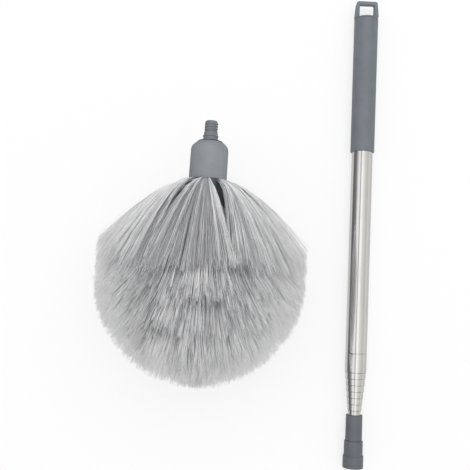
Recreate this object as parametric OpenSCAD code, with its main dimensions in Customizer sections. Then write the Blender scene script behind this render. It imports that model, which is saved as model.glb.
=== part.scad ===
// Cobweb brush: a domed brush head lying on its bristles beside its collapsed
// eight-section telescopic pole. Millimetres, +Z up, z = 0 is the floor.
// The pole axis runs along Y with the hang loop at +Y and the screw socket at -Y.
// The origin is below the centre of the two pieces' common outline.

/* [Pole tubes] */
// Outer diameter of the first, outermost tube
tube_d = 22; // [20:0.1:26.4]
// Sheet thickness of every tube
tube_wall = 0.4; // [0.35:0.05:0.5]
// Radial gap between one tube and the next
tube_gap = 0.225; // [0.2:0.025:0.3]
// Length of the first tube that shows below the grip
tube_show = 232; // [180:0.1:300]
// Step from one tube's mouth to the next when collapsed
mouth_step = 6.5; // [5:0.5:9]
// Length of the last tube that shows above the socket
last_show = 4; // [2:0.5:10]
// Length of the rolled lip at a tube's mouth
lip_len = 1.5; // [1:0.1:2.5]
// Radial clearance between a rolled lip and the tube that slides through it
lip_clear = 0.06; // [0.05:0.01:0.1]
// Height of the rolled bead above the first tube's mouth
bead_up = 19.7; // [12:0.1:30]
// Width of the rolled bead
bead_w = 1.6; // [1:0.1:3]

/* [Guide bushes] */
// Length of the bush head that runs in the next larger tube
bush_head = 14; // [8:0.5:20]
// Length of the bush spigot inside its own tube
bush_spigot = 8; // [5:0.5:12]
// Wall of the bush around its air hole
bush_wall = 1.8; // [1.2:0.1:2.4]
// Radial running clearance of the bush head
bush_clear = 0.05; // [0.03:0.01:0.1]
// Radial clearance of the bush spigot in its tube
spigot_clear = 0.02; // [0.01:0.01:0.05]
// Axial gap above each bush when collapsed
stack_gap = 1; // [0.5:0.1:3]
// Width of the spring slots in a bush head
slot_w = 1.2; // [0.8:0.1:2]
// Depth of the spring slots in a bush head
slot_len = 9; // [5:0.5:12]
// Gap left between a bush head and the lip that stops it
stop_gap = 0.5; // [0.3:0.1:1]

/* [Grip and hang loop] */
// Length of the grip sleeve
grip_len = 145.5; // [110:0.5:180]
// Wall of the grip at the loop end
grip_wall = 1.71; // [1.4:0.01:4]
// How much slimmer the grip's wall is at the tube end
grip_taper = 0.2; // [0:0.05:0.6]
// Radius of the grip's rounded ends
grip_round = 0.8; // [0.4:0.1:1.2]
// Radial clearance between the grip and the first tube
grip_clear = 0.04; // [0.02:0.01:0.1]
// Thickness of the loop's base disc
loop_base = 1.5; // [1:0.1:3]
// Height of the loop frame above the base disc
loop_h = 18.3; // [15:0.1:25]
// Distance of the loop frame's foot from the base disc's edge
loop_inset = 0.2; // [0.1:0.1:2]
// How much each side of the loop frame leans in towards its top
loop_lean = 1.2; // [0:0.1:2]
// Width of the loop frame's side bars at the top
loop_side = 3.25; // [2.5:0.05:4]
// Height of the loop frame's top bar
loop_bar = 3.9; // [3:0.1:5]
// Thickness of the loop frame
loop_t = 9; // [6:0.1:12]
// Radius of the loop's outer corners
loop_corner = 2.8; // [1.5:0.1:4]
// Edge chamfer of the loop frame
loop_edge = 1; // [0.5:0.1:1.5]
// Length of the loop's plug inside the first tube
plug_len = 18; // [10:0.5:25]
// Radial clearance of the plug in the first tube
plug_clear = 0.05; // [0.02:0.01:0.1]

/* [Screw socket] */
// Length of the socket's slim upper barrel
socket_a_len = 25.5; // [20:0.5:35]
// Length of the socket's middle barrel
socket_b_len = 15.7; // [10:0.1:20]
// Length of the socket's mouth barrel
socket_c_len = 12.2; // [8:0.1:18]
// Wall of the slim barrel round the last tube, at its top
socket_wall = 1.795; // [1.5:0.005:3.5]
// Radial step from the slim barrel's top to the middle barrel's top
socket_step_b = 1.1; // [0.8:0.05:2]
// Radial step from the middle barrel's top to the mouth barrel
socket_step_c = 1; // [0.5:0.05:2]
// How much the slim and middle barrels widen over their length
socket_taper = 0.2; // [0:0.1:0.8]
// Radial clearance of the last tube in the socket
socket_clear = 0.03; // [0.02:0.01:0.1]
// Thickness of the web between the tube bore and the thread
socket_web = 2.4; // [1.5:0.1:4]

/* [Screw joint] */
// Outer diameter of the head's thread
thread_d = 12.6; // [11:0.01:15.2]
// Thread pitch
thread_pitch = 2.5; // [2:0.1:3]
// Radial depth of the thread
thread_depth = 0.8; // [0.5:0.05:1]
// Width of the thread's ridge at its crest
crest_w = 0.45; // [0.3:0.05:0.8]
// Width of the thread's ridge at its root
ridge_w = 0.9; // [0.6:0.05:1]
// Axial clearance on each flank of the thread
flank_clear = 0.1; // [0.05:0.01:0.2]
// Length of the thread on the head's stub
thread_len = 10.8; // [8:0.1:14]
// Radial clearance between stub and socket
thread_clear = 0.15; // [0.1:0.05:0.3]
// Radial step from the thread's crest to the plain shank under it
shank_step = 0.2; // [0.1:0.05:0.6]
// Length of the plain shank
shank_len = 3.4; // [2:0.1:5]
// Radial step from the shank to the collar that centres the head in the socket
collar_step = 0.9; // [0.5:0.05:1.4]
// Length of the collar
collar_len = 4; // [2:0.1:6]
// Width of the relief groove at the end of each thread
relief_w = 0.9; // [0.6:0.1:1.4]

/* [Brush head] */
// Diameter of the ball that the bristle tips lie on
ball_d = 199; // [170:0.1:240]
// Diameter of the core that carries the bristles
core_d = 34.8; // [30:0.01:41.8]
// Distance from the ball's centre up to the neck's lower rim
core_len = 94.5; // [80:0.5:110]
// Length of the neck's cylinder
neck_len = 28.2; // [20:0.1:40]
// How far the neck's lower rim stands out from the core
neck_over = 0.45; // [0.4:0.05:2]
// How much slimmer the neck's radius is at the shoulder
neck_taper = 0.25; // [0:0.05:0.5]
// Wall of the neck
neck_wall = 2.1; // [1.5:0.1:2.5]
// Blend radius between the neck and its shoulder
shoulder_r = 7.5; // [5:0.1:9]
// Angle that the blend turns through before the straight cone
shoulder_turn = 47; // [40:1:55]
// Width of the shoulder's flat top round the stub's collar
shoulder_flat = 2.7; // [2:0.1:3.5]
// Thickness of the bristle slices round the spine
slice_wall = 4.4; // [3.5:0.1:5]
// Wall of the hollow spine
spine_wall = 3; // [2:0.1:4]
// Length of the stub's tail inside the spine
tail_len = 15; // [10:0.5:20]
// Radial step from the thread's crest in to the stub's tail
tail_step = 0.3; // [0.2:0.05:0.6]
// Diameter of the bolt that clamps the head together
bolt_d = 5; // [4:0.5:6]
// Diameter of the bolt's head
bolt_head_d = 9; // [8:0.5:9]
// Height of the bolt's head
bolt_head_h = 3; // [2:0.5:3]
// Length of the bolt's tip inside the stub's tail
bolt_grip = 11; // [6:0.5:12]
// Radial clearance between the head's inner pieces
inner_clear = 0.05; // [0.03:0.01:0.2]

/* [Bristles] */
// Radius of a strand at its root
strand_root_r = 0.8; // [0.6:0.05:0.9]
// Radius of a strand at its tip
strand_tip_r = 0.45; // [0.3:0.05:0.6]
// Depth that a strand is fused into its backing
strand_sink = 1; // [0.6:0.1:1.5]
// Most that every other strand is shorter than the ball
strand_ragged = 3; // [0:0.5:6]
// Depth that the tips are cut flat where the head rests
rest_cut = 0.5; // [0.5:0.1:1]

/* [Layout] */
// Clear distance between the ball and the grip
side_gap = 49.5; // [20:0.5:100]
// Distance of the ball's centre below the middle of the pole
head_down = 64.8; // [0:0.1:120]
// Angle that the head's axis is turned clockwise from the pole's
head_turn = 1.2; // [0:0.1:10]

/* [Hidden] */
$fn = 96;
tubes = 8;
eps = 0.01;
steel = [0.78, 0.79, 0.8];
grip_grey = [0.45, 0.48, 0.51];
socket_grey = [0.4, 0.42, 0.44];
neck_grey = [0.55, 0.57, 0.6];
bristle_grey = [0.78, 0.79, 0.81];
nylon = [0.86, 0.86, 0.83];

// Outer diameters along the pole, and the loop frame's widths and opening
grip_top_d = tube_d + 2 * (grip_clear + grip_wall);
grip_low_d = grip_top_d - 2 * grip_taper;
socket_r = tube_r(tubes) + socket_clear;
socket_a_r = socket_r + socket_wall;
socket_b_r = socket_a_r + socket_step_b;
socket_c_r = socket_b_r + socket_step_c;
loop_low_w = grip_top_d - 2 * loop_inset;
loop_top_w = loop_low_w - 2 * loop_lean;
loop_hole_w = loop_top_w - 2 * loop_side;
loop_hole_h = loop_h - loop_bar;

// Places along the pole, measured on its own axis from the middle of its length
socket_len = socket_a_len + socket_b_len + socket_c_len;
pole_len = loop_h + loop_base + grip_len + tube_show + (tubes - 2) * mouth_step
    + last_show + socket_len;
disc_top = pole_len / 2 - loop_h;
grip_top = disc_top - loop_base;
grip_low = grip_top - grip_len;
socket_end = -pole_len / 2;
socket_top = socket_end + socket_len;
bush_step = bush_head + bush_spigot + stack_gap;

// Outer and inner radius, mouth and top end of tube n, and its bush's head radius
function tube_r(n) = tube_d / 2 - (n - 1) * (tube_wall + tube_gap);
function bore_r(n) = tube_r(n) - tube_wall;
function mouth_y(n) = n < tubes ? grip_low - tube_show - (n - 1) * mouth_step
    : socket_end + bore_depth + socket_web;
function top_y(n) = n == 1 ? grip_top
    : grip_top - plug_len - stack_gap - bush_head - (n - 2) * bush_step;
function head_r(n) = bore_r(n - 1) - bush_clear;
// How far section n slides out before its bush head meets the lip or the bead
function stop_y(n) = mouth_y(n) + (n == 1 ? bead_up + bead_w / 2 : lip_len);
function travel(n) = top_y(n) - stop_y(n - 1) - stop_gap;

// Screw joint: radii on the stub and in the socket, and depths from the socket's mouth
thread_r = thread_d / 2;
root_r = thread_r - thread_depth;
shank_r = thread_r + shank_step;
collar_r = shank_r + collar_step;
tail_r = thread_r - tail_step;
flank_slope = (ridge_w - crest_w) / 2 / thread_depth;
over = 0.3;
nut_minor_r = root_r + thread_clear;
nut_major_r = thread_r + thread_clear;
shank_bore_r = shank_r + thread_clear;
collar_bore_r = collar_r + thread_clear;
shank_depth = collar_len + shank_len;
bore_depth = shank_depth + thread_len + 2 * relief_w;

// Places along the head's own axis, measured up from the ball's centre
ball_r = ball_d / 2;
core_r = core_d / 2;
neck_low_r = core_r + neck_over;
neck_top_r = neck_low_r - neck_taper;
shoulder_top_r = collar_r + shoulder_flat;
neck_top = core_len + neck_len;
cone_base_r = neck_top_r - shoulder_r * (1 - cos(shoulder_turn));
cone_h = (cone_base_r - shoulder_top_r) / tan(shoulder_turn);
shoulder_top = neck_top + shoulder_r * sin(shoulder_turn) + cone_h;
collar_top = shoulder_top + collar_len;
shank_top = collar_top + shank_len;
stub_top = shank_top + thread_len;
spine_r = core_r - slice_wall;
slice_bore_r = spine_r + inner_clear;
cap_top = core_r - sqrt(pow(core_r, 2) - pow(spine_r + neck_wall, 2)) + 1;
spine_top = shoulder_top - neck_wall;

// The ball rests on its cut tips, the pole on its grip
ball_z = ball_r - rest_cut;
pole_z = grip_top_d / 2;
width = ball_d + side_gap + grip_top_d;
head_x = ball_r - width / 2;
pole_x = width / 2 - grip_top_d / 2;

// Bristle rows: [root height, slice top, slice bottom, tufts, columns, layers,
// lowest and highest tip angle from the ball's foot, angle below level at the root]
row_1 = [core_len - 4, core_len, core_len - 17.5, 8, 4, 2, 95, 109, 18];
row_2 = [core_len - 25.5, core_len - 17.5, core_len - 33.5, 8, 4, 2, 83, 89, 38];
row_3 = [core_len - 40, core_len - 33.5, core_len - 47, 8, 4, 2, 76, 80, 50];
row_4 = [core_len - 53.5, core_len - 47, core_len - 60.5, 8, 4, 2, 66, 71, 58];
row_5 = [core_len - 68, core_len - 60.5, core_r, 8, 4, 2, 50, 60, 66];
row_6 = [core_r - 3.2, core_r, cap_top, 8, 3, 2, 31, 42, 66];
row_7 = [cap_top - 4.4, cap_top, 0, 5, 3, 2, 9, 21, 84];
rows = [row_1, row_2, row_3, row_4, row_5, row_6, row_7];
tuft_half_w = 4.4;
tuft_half_h = 1.9;
fan_share = 0.8;
strand_steps = 3;

module turned(profile) rotate_extrude() polygon(profile);

// Lays a piece that was turned about Z along the pole
module on_pole() translate([pole_x, 0, pole_z]) rotate([-90, 0, 0]) children();

// Lays a piece that was turned about Z along the head's axis
module on_head() translate([head_x, -head_down, ball_z])
    rotate([0, 0, -head_turn]) rotate([-90, 0, 0]) children();

// Solid that cuts one helical thread groove, from z_low to z_high.
// It is r_deep at its narrow side and r_open at its wide side.
module thread_groove(r_deep, r_open, half_deep, half_open, z_low, z_high) {
    turn_steps = 24;
    count = ceil((z_high - z_low) / thread_pitch * turn_steps);
    corners = [[r_deep, -half_deep], [r_deep, half_deep], [r_open, half_open], [r_open, -half_open]];
    points = [
        for (i = [0 : count], c = corners)
            let (turn = 360 * i / turn_steps)
            [c[0] * cos(turn), c[0] * sin(turn), z_low + thread_pitch * i / turn_steps + c[1]]
    ];
    outward = r_open > r_deep;
    sides = [
        for (i = [0 : count - 1], k = [0 : 3])
            let (a = 4 * i + k, b = 4 * i + (k + 1) % 4)
            each [[a, b, b + 4], [a, b + 4, a + 4]]
    ];
    last = 4 * count;
    ends = [[0, 2, 1], [0, 3, 2], [last, last + 1, last + 2], [last, last + 2, last + 3]];
    faces = concat(sides, ends);
    polyhedron(points, outward ? [for (f = faces) [f[0], f[2], f[1]]] : faces, convexity = 10);
}

module grip() color(grip_grey) on_pole() {
    r_in = tube_d / 2 + grip_clear;
    r_top = grip_top_d / 2;
    r_low = grip_low_d / 2;
    edge = min(grip_round, (r_low - r_in) / 2.2);
    rotate_extrude() union() {
        polygon([
            [r_in, grip_low], [r_low - edge, grip_low], [r_low, grip_low + edge],
            [r_top, grip_top], [r_in, grip_top]
        ]);
        translate([r_low - edge, grip_low + edge]) circle(edge);
    }
}

// Outline of the loop frame, widest where it stands on the base disc
module loop_outline(inset) {
    r = loop_corner - inset;
    hull() {
        for (side = [-1, 1]) translate([side * (loop_top_w / 2 - loop_corner), loop_h - loop_corner])
            circle(r, $fn = 32);
        translate([inset - loop_low_w / 2, -eps]) square([loop_low_w - 2 * inset, eps]);
    }
}

module hang_loop() color(grip_grey) on_pole() {
    r_disc = grip_top_d / 2;
    r_plug = bore_r(1) - plug_clear;
    hole_corner = 1;
    // frame across the pole's axis, its opening through Z
    translate([0, 0, disc_top]) intersection() {
        difference() {
            rotate([90, 0, 0]) hull() {
                linear_extrude(loop_t - 2 * loop_edge, center = true) loop_outline(0);
                linear_extrude(loop_t, center = true) loop_outline(loop_edge);
            }
            rotate([90, 0, 0]) linear_extrude(2 * loop_t, center = true)
                translate([-loop_hole_w / 2, 0]) square([loop_hole_w, loop_hole_h]);
        }
        cylinder(r = r_disc, h = 4 * loop_h, center = true);
    }
    // base disc on the grip and the tube's end, with the plug below it
    turned([
        [0, disc_top], [r_disc - hole_corner / 2, disc_top], [r_disc, disc_top - hole_corner / 2],
        [r_disc, grip_top], [r_plug, grip_top], [r_plug, grip_top - plug_len + hole_corner],
        [r_plug - hole_corner, grip_top - plug_len], [0, grip_top - plug_len]
    ]);
}

// Tube n with its mouth rolled inwards until it almost meets the next tube
module tube(n) color(steel) on_pole() {
    r_out = tube_r(n);
    r_in = bore_r(n);
    low = mouth_y(n);
    high = top_y(n);
    roll = n < tubes ? r_in - tube_r(n + 1) - lip_clear : 0;
    bead = low + bead_up;
    bead_out = n == 1 ? [
        [r_out, bead - bead_w / 2], [r_out - roll, bead - bead_w / 6],
        [r_out - roll, bead + bead_w / 6], [r_out, bead + bead_w / 2]
    ] : [];
    bead_in = n == 1 ? [
        [r_in, bead + bead_w / 2], [r_in - roll, bead + bead_w / 6],
        [r_in - roll, bead - bead_w / 6], [r_in, bead - bead_w / 2]
    ] : [];
    lip_out = n < tubes ? [[r_out - roll - tube_wall / 2, low], [r_out - roll, low + tube_wall / 2], [r_out, low + lip_len]]
        : [[r_out, low]];
    lip_in = n < tubes ? [[r_in, low + lip_len], [r_in - roll, low + lip_len / 2], [r_in - roll, low]]
        : [[r_in, low]];
    turned(concat(lip_out, bead_out, [[r_out, high], [r_in, high]], bead_in, lip_in));
}

module tube_1() tube(1);
module tube_2() tube(2);
module tube_3() tube(3);
module tube_4() tube(4);
module tube_5() tube(5);
module tube_6() tube(6);
module tube_7() tube(7);
module tube_8() tube(8);

// Bush in the top end of tube n: its slotted head runs in tube n - 1
module bush(n) color(nylon) on_pole() {
    seat = top_y(n);
    r_head = head_r(n);
    r_spigot = bore_r(n) - spigot_clear;
    r_air = r_spigot - bush_wall;
    edge = 0.5;
    difference() {
        turned([
            [r_air, seat - bush_spigot], [r_spigot - edge, seat - bush_spigot], [r_spigot, seat - bush_spigot + edge],
            [r_spigot, seat], [r_head, seat], [r_head, seat + bush_head - edge],
            [r_head - edge, seat + bush_head], [r_air, seat + bush_head]
        ]);
        for (turn = [0, 90]) rotate([0, 0, turn])
            translate([-tube_d, -slot_w / 2, seat + bush_head - slot_len]) cube([2 * tube_d, slot_w, slot_len + 1]);
    }
}

module bush_2() bush(2);
module bush_3() bush(3);
module bush_4() bush(4);
module bush_5() bush(5);
module bush_6() bush(6);
module bush_7() bush(7);
module bush_8() bush(8);

// Socket with three barrels outside, the last tube's bore above and the thread below
module screw_socket() color(socket_grey) on_pole() {
    spread = socket_taper / 2;
    step_c = socket_end + socket_c_len;
    step_b = step_c + socket_b_len;
    groove = 0.35;
    edge = 0.8;
    web_low = socket_end + bore_depth;
    difference() {
        turned([
            [0, socket_end], [socket_c_r - edge, socket_end], [socket_c_r, socket_end + edge], [socket_c_r, step_c - edge / 2],
            [socket_c_r - edge / 2, step_c], [socket_b_r + spread, step_c], [socket_b_r, step_b - edge / 2],
            [socket_b_r - edge / 2, step_b], [socket_a_r + spread - groove, step_b], [socket_a_r + spread - groove, step_b + groove],
            [socket_a_r + spread, step_b + 2 * groove], [socket_a_r, socket_top - edge / 2], [socket_a_r - edge / 2, socket_top],
            [0, socket_top]
        ]);
        translate([0, 0, web_low + socket_web]) cylinder(r = socket_r, h = socket_len);
        translate([0, 0, socket_end - 1]) cylinder(r = collar_bore_r, h = collar_len + 1);
        translate([0, 0, socket_end]) cylinder(r = shank_bore_r, h = shank_depth);
        translate([0, 0, socket_end]) cylinder(r = nut_minor_r, h = bore_depth);
        for (z = [socket_end + shank_depth - eps, web_low - relief_w])
            translate([0, 0, z]) cylinder(r = nut_major_r + thread_clear, h = relief_w);
        thread_groove(nut_major_r, nut_minor_r - over, crest_w / 2 + flank_clear,
            ridge_w / 2 + flank_clear + over * flank_slope,
            socket_end + shank_depth + relief_w / 2, web_low - relief_w);
    }
}

// Stub: tail, collar, plain shank and thread, bored from below for the bolt
module threaded_stub() color(socket_grey) on_head() {
    edge = 0.8;
    r_relief = root_r - thread_clear;
    lead = thread_depth + 0.3;
    difference() {
        turned([
            [0, shoulder_top - tail_len], [tail_r - edge, shoulder_top - tail_len], [tail_r, shoulder_top - tail_len + edge],
            [tail_r, shoulder_top], [collar_r, shoulder_top], [collar_r, collar_top - edge / 4],
            [collar_r - edge / 4, collar_top], [shank_r, collar_top], [shank_r, shank_top - edge / 4],
            [shank_r - edge / 4, shank_top], [r_relief, shank_top], [r_relief, shank_top + relief_w],
            [thread_r, shank_top + relief_w], [thread_r, stub_top - lead], [thread_r - lead, stub_top],
            [0, stub_top]
        ]);
        thread_groove(root_r, thread_r + over, (thread_pitch - ridge_w) / 2,
            (thread_pitch - crest_w) / 2 + over * flank_slope,
            shank_top + thread_pitch / 2, stub_top + thread_pitch);
        translate([0, 0, shoulder_top - tail_len - 1]) cylinder(d = bolt_d + 2 * inner_clear, h = bolt_grip + 2);
    }
}

// Neck: a tapered shell with a rounded shoulder, open below, with a hole for the stub's tail
module neck_shell() color(neck_grey) on_head() {
    r_bore = neck_top_r - neck_wall;
    r_inner_top = shoulder_top_r - neck_wall / 2;
    r_hole = tail_r + inner_clear;
    inner_cone = neck_top + shoulder_r * sin(shoulder_turn) - neck_wall;
    rim = 0.4;
    rotate_extrude() difference() {
        union() {
            polygon([
                [r_hole, core_len], [neck_low_r, core_len], [neck_top_r, neck_top],
                [cone_base_r, neck_top + shoulder_r * sin(shoulder_turn)],
                [shoulder_top_r, shoulder_top - rim], [shoulder_top_r - rim, shoulder_top],
                [r_hole, shoulder_top]
            ]);
            intersection() {
                translate([neck_top_r - shoulder_r, neck_top]) circle(shoulder_r);
                translate([neck_top_r - shoulder_r, neck_top]) square([shoulder_r, shoulder_r * sin(shoulder_turn)]);
            }
        }
        polygon([
            [0, core_len - 1], [r_bore, core_len - 1], [r_bore, neck_top], [cone_base_r - neck_wall, inner_cone],
            [r_inner_top, spine_top], [0, spine_top]
        ]);
    }
}

// Spine: a hollow post through the slices, with a boss in the neck and a pocket for the stub's tail
module core_spine() color(nylon) on_head() {
    r_bolt = bolt_d / 2 + inner_clear;
    r_boss = neck_top_r - neck_wall - inner_clear;
    boss_top = neck_top - neck_wall;
    r_nose = shoulder_top_r - neck_wall / 2 - 1;
    pocket = shoulder_top - tail_len;
    deck = 4;
    difference() {
        turned([
            [0, cap_top], [spine_r, cap_top], [spine_r, core_len], [r_boss, core_len],
            [r_boss, boss_top], [r_nose, boss_top + (r_boss - r_nose) / 2], [r_nose, spine_top], [0, spine_top]
        ]);
        translate([0, 0, pocket - inner_clear]) cylinder(r = tail_r + inner_clear, h = tail_len);
        translate([0, 0, cap_top - 1]) cylinder(r = r_bolt, h = spine_top);
        translate([0, 0, cap_top + deck]) cylinder(r = spine_r - spine_wall, h = pocket - cap_top - 2 * deck);
    }
}

// Bolt: pan head in the foot of the last slice, shank up to the stub
module core_bolt() color(steel) on_head() {
    r_head = bolt_head_d / 2;
    head_z = bolt_head_h + inner_clear;
    drive_w = 1.2;
    tip = shoulder_top - tail_len + bolt_grip;
    edge = 0.8;
    difference() {
        turned([
            [0, inner_clear], [r_head - 2 * edge, inner_clear], [r_head, inner_clear + edge], [r_head, head_z],
            [bolt_d / 2, head_z], [bolt_d / 2, tip - edge], [bolt_d / 2 - edge, tip], [0, tip]
        ]);
        for (turn = [0, 90]) rotate([0, 0, turn])
            translate([-r_head + 2 * edge, -drive_w / 2, -1]) cube([2 * r_head - 4 * edge, drive_w, bolt_head_h / 2 + 1]);
    }
}

// A repeatable value from 0 to 1 for strand i
function scatter(i) = abs(sin(i * 77.3 + 13) * 43.7) % 1;

// Radius of the core at height z: a cylinder with a round lower end
function core_at(z) = z >= core_r ? core_r : sqrt(pow(core_r, 2) - pow(core_r - z, 2));

// Points of one strand: it leaves at lean degrees below level and bends towards its tip
function strand_path(root, lean, out, tip) = let (
    reach = norm(tip - root) * 0.45,
    knee = root + reach * [out[0] * cos(lean), out[1] * cos(lean), -sin(lean)]
) [
    for (i = [0 : strand_steps]) let (t = i / strand_steps)
        pow(1 - t, 2) * root + 2 * t * (1 - t) * knee + pow(t, 2) * tip
];

// Three corners around each point of a strand, kept above the floor
function strand_rings(path, side) = [
    for (i = [0 : strand_steps]) let (
        run = path[min(i + 1, strand_steps)] - path[max(i - 1, 0)],
        up = cross(run, side) / norm(cross(run, side)),
        r = strand_root_r + (strand_tip_r - strand_root_r) * i / strand_steps
    ) for (k = [0 : 2]) let (p = path[i] + r * (cos(120 * k) * side + sin(120 * k) * up))
        [p[0], min(p[1], ball_z), p[2]]
];

strand_faces = concat(
    [[0, 1, 2]],
    [for (i = [0 : strand_steps - 1], k = [0 : 2]) let (a = 3 * i + k, b = 3 * i + (k + 1) % 3)
        each [[a, b + 3, b], [a, a + 3, b + 3]]],
    [[3 * strand_steps, 3 * strand_steps + 2, 3 * strand_steps + 1]]
);

// Strands of one row, from tufts spread evenly round the core
module strands(row, start) {
    tufts = row[3];
    columns = row[4];
    layers = row[5];
    points = [
        for (t = [0 : tufts - 1], c = [0 : columns - 1], l = [0 : layers - 1]) let (
            across = columns > 1 ? 2 * c / (columns - 1) - 1 : 0,
            up = layers > 1 ? 2 * l / (layers - 1) - 1 : 0,
            mark = (t * columns + c) * layers + l + 31 * start,
            z = row[0] + up * tuft_half_h,
            r = core_at(z) - strand_sink,
            middle = start + 360 * t / tufts,
            root_turn = middle + across * tuft_half_w / core_at(z) * 180 / PI,
            tip_turn = middle + across * fan_share * 180 / tufts,
            polar = (row[6] + row[7]) / 2 + up * (row[7] - row[6]) / 2 + 2 * scatter(mark) - 1,
            reach = ball_r - strand_ragged * scatter(mark + 500) * (c % 2),
            out = [cos(root_turn), sin(root_turn)],
            root = [r * out[0], r * out[1], z],
            tip = reach * [sin(polar) * cos(tip_turn), sin(polar) * sin(tip_turn), -cos(polar)]
        ) each strand_rings(strand_path(root, row[8], out, tip), [-out[1], out[0], 0])
    ];
    ring_points = 3 * (strand_steps + 1);
    polyhedron(points, [
        for (s = [0 : tufts * columns * layers - 1], f = strand_faces) [for (v = f) v + s * ring_points]
    ], convexity = 12);
}

// One row of bristles fused to its slice of the core
module bristle_row(row, start) color(bristle_grey) on_head() {
    slice(row[2], row[1]);
    strands(row, start);
}

// Slice of the core between two heights, bored for the spine
module slice(low, high) {
    difference() {
        if (low >= core_r) translate([0, 0, low]) cylinder(r = core_r, h = high - low);
        else intersection() {
            translate([0, 0, core_r]) sphere(core_r);
            translate([0, 0, low]) cylinder(r = core_r + 1, h = high - low);
        }
        if (low >= cap_top) translate([0, 0, low - 1]) cylinder(r = slice_bore_r, h = high - low + 2);
        else {
            translate([0, 0, -1]) cylinder(d = bolt_d + 2 * inner_clear, h = high + 2);
            translate([0, 0, -1]) cylinder(d = bolt_head_d + 2 * inner_clear, h = bolt_head_h + inner_clear + 1);
        }
    }
}

module bristle_row_1() bristle_row(row_1, 40);
module bristle_row_2() bristle_row(row_2, 17.5);
module bristle_row_3() bristle_row(row_3, 40);
module bristle_row_4() bristle_row(row_4, 17.5);
module bristle_row_5() bristle_row(row_5, 40);
module bristle_row_6() bristle_row(row_6, 20);
module bristle_row_7() bristle_row(row_7, 0);

echo(travel = [for (n = [2 : tubes]) travel(n)]);
echo(strands = [for (row = rows) row[3] * row[4] * row[5]]);

grip();
hang_loop();
tube_1();
tube_2();
tube_3();
tube_4();
tube_5();
tube_6();
tube_7();
tube_8();
bush_2();
bush_3();
bush_4();
bush_5();
bush_6();
bush_7();
bush_8();
screw_socket();
threaded_stub();
neck_shell();
core_spine();
core_bolt();
bristle_row_1();
bristle_row_2();
bristle_row_3();
bristle_row_4();
bristle_row_5();
bristle_row_6();
bristle_row_7();
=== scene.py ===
"""Looks of the cobweb brush: its telescopic steel pole and its domed head, lying side by side.

Every length is in metres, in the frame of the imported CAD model: +Z is up and z = 0 is the floor.
The pole lies along Y with its hang loop at +Y. The head is built upright, with the centre of
its ball at the origin and its neck towards +Z, and is then laid down beside the pole. Angles are
in degrees where nothing else is said.
"""

import logging
import math
from contextlib import contextmanager
from dataclasses import dataclass
from enum import Enum
from typing import Iterator, Sequence, Union

import bmesh
import bpy
import numpy as np
from mathutils import Matrix, Vector


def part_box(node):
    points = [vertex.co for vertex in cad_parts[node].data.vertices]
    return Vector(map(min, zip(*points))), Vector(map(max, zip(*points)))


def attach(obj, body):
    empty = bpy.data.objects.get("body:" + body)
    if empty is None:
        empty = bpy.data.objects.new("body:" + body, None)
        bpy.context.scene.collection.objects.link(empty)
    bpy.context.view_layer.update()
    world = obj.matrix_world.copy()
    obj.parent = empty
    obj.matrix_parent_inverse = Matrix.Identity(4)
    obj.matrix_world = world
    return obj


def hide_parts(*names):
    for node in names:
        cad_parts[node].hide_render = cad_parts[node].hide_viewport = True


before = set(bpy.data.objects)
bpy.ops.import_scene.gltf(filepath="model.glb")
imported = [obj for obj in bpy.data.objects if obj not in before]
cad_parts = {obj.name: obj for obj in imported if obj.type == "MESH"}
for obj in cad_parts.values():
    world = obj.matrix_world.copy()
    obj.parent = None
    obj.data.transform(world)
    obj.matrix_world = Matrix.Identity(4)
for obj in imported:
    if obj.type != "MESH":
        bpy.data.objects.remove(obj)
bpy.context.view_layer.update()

log = logging.getLogger("cobweb_brush")

MM = 0.001
X, Y, Z = range(3)
WHITE = (1.0, 1.0, 1.0)
Colour = tuple[float, float, float]
Triple = tuple[float, float, float]
Point = tuple[float, float]
Range = tuple[float, float]
Number = Union[int, float]
Value = Union["Signal", Number]
Tint = Union["Signal", Colour]


# Shader expressions

class Signal:
    """A shader value that Python's operators combine by adding Math nodes."""

    def __init__(self, recipe: "Recipe", socket: bpy.types.NodeSocket) -> None:
        """Wraps an output socket of a node in the recipe's tree."""
        self.recipe = recipe
        self.socket = socket

    def _math(self, operation: str, *values: Value) -> "Signal":
        """Adds one Math node.

        Args:
            operation: Blender's name of the operation.
            values: What goes into its sockets, in their order.

        Returns:
            The node's result.
        """
        numbered = dict(enumerate(values))
        return self.recipe.node("ShaderNodeMath", {"operation": operation}, numbered)[0]

    def __add__(self, other: Value) -> "Signal":
        """self + other."""
        return self._math("ADD", self, other)

    def __sub__(self, other: Value) -> "Signal":
        """self - other."""
        return self._math("SUBTRACT", self, other)

    def __rsub__(self, other: Number) -> "Signal":
        """other - self."""
        return self._math("SUBTRACT", other, self)

    def __mul__(self, other: Value) -> "Signal":
        """self * other."""
        return self._math("MULTIPLY", self, other)

    def __truediv__(self, other: Value) -> "Signal":
        """self / other."""
        return self._math("DIVIDE", self, other)

    def __rtruediv__(self, other: Number) -> "Signal":
        """other / self."""
        return self._math("DIVIDE", other, self)

    __radd__ = __add__
    __rmul__ = __mul__

    def clipped(self) -> "Signal":
        """The value held between 0 and 1."""
        return self.recipe.node("ShaderNodeClamp", {}, {"Value": self})[0]

    def angle_to(self, other: "Signal") -> "Signal":
        """The angle in radians whose tangent is self over other, in all four quarters."""
        return self._math("ARCTAN2", self, other)

    def spread(self, low: float, high: float, to_low: float = 0.0, to_high: float = 1.0) -> "Signal":
        """Maps low..high smoothly onto to_low..to_high and holds the ends."""
        ends = {"Value": self, "From Min": low, "From Max": high, "To Min": to_low, "To Max": to_high}
        return self.recipe.node("ShaderNodeMapRange", {"interpolation_type": "SMOOTHSTEP"}, ends)[0]


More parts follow.
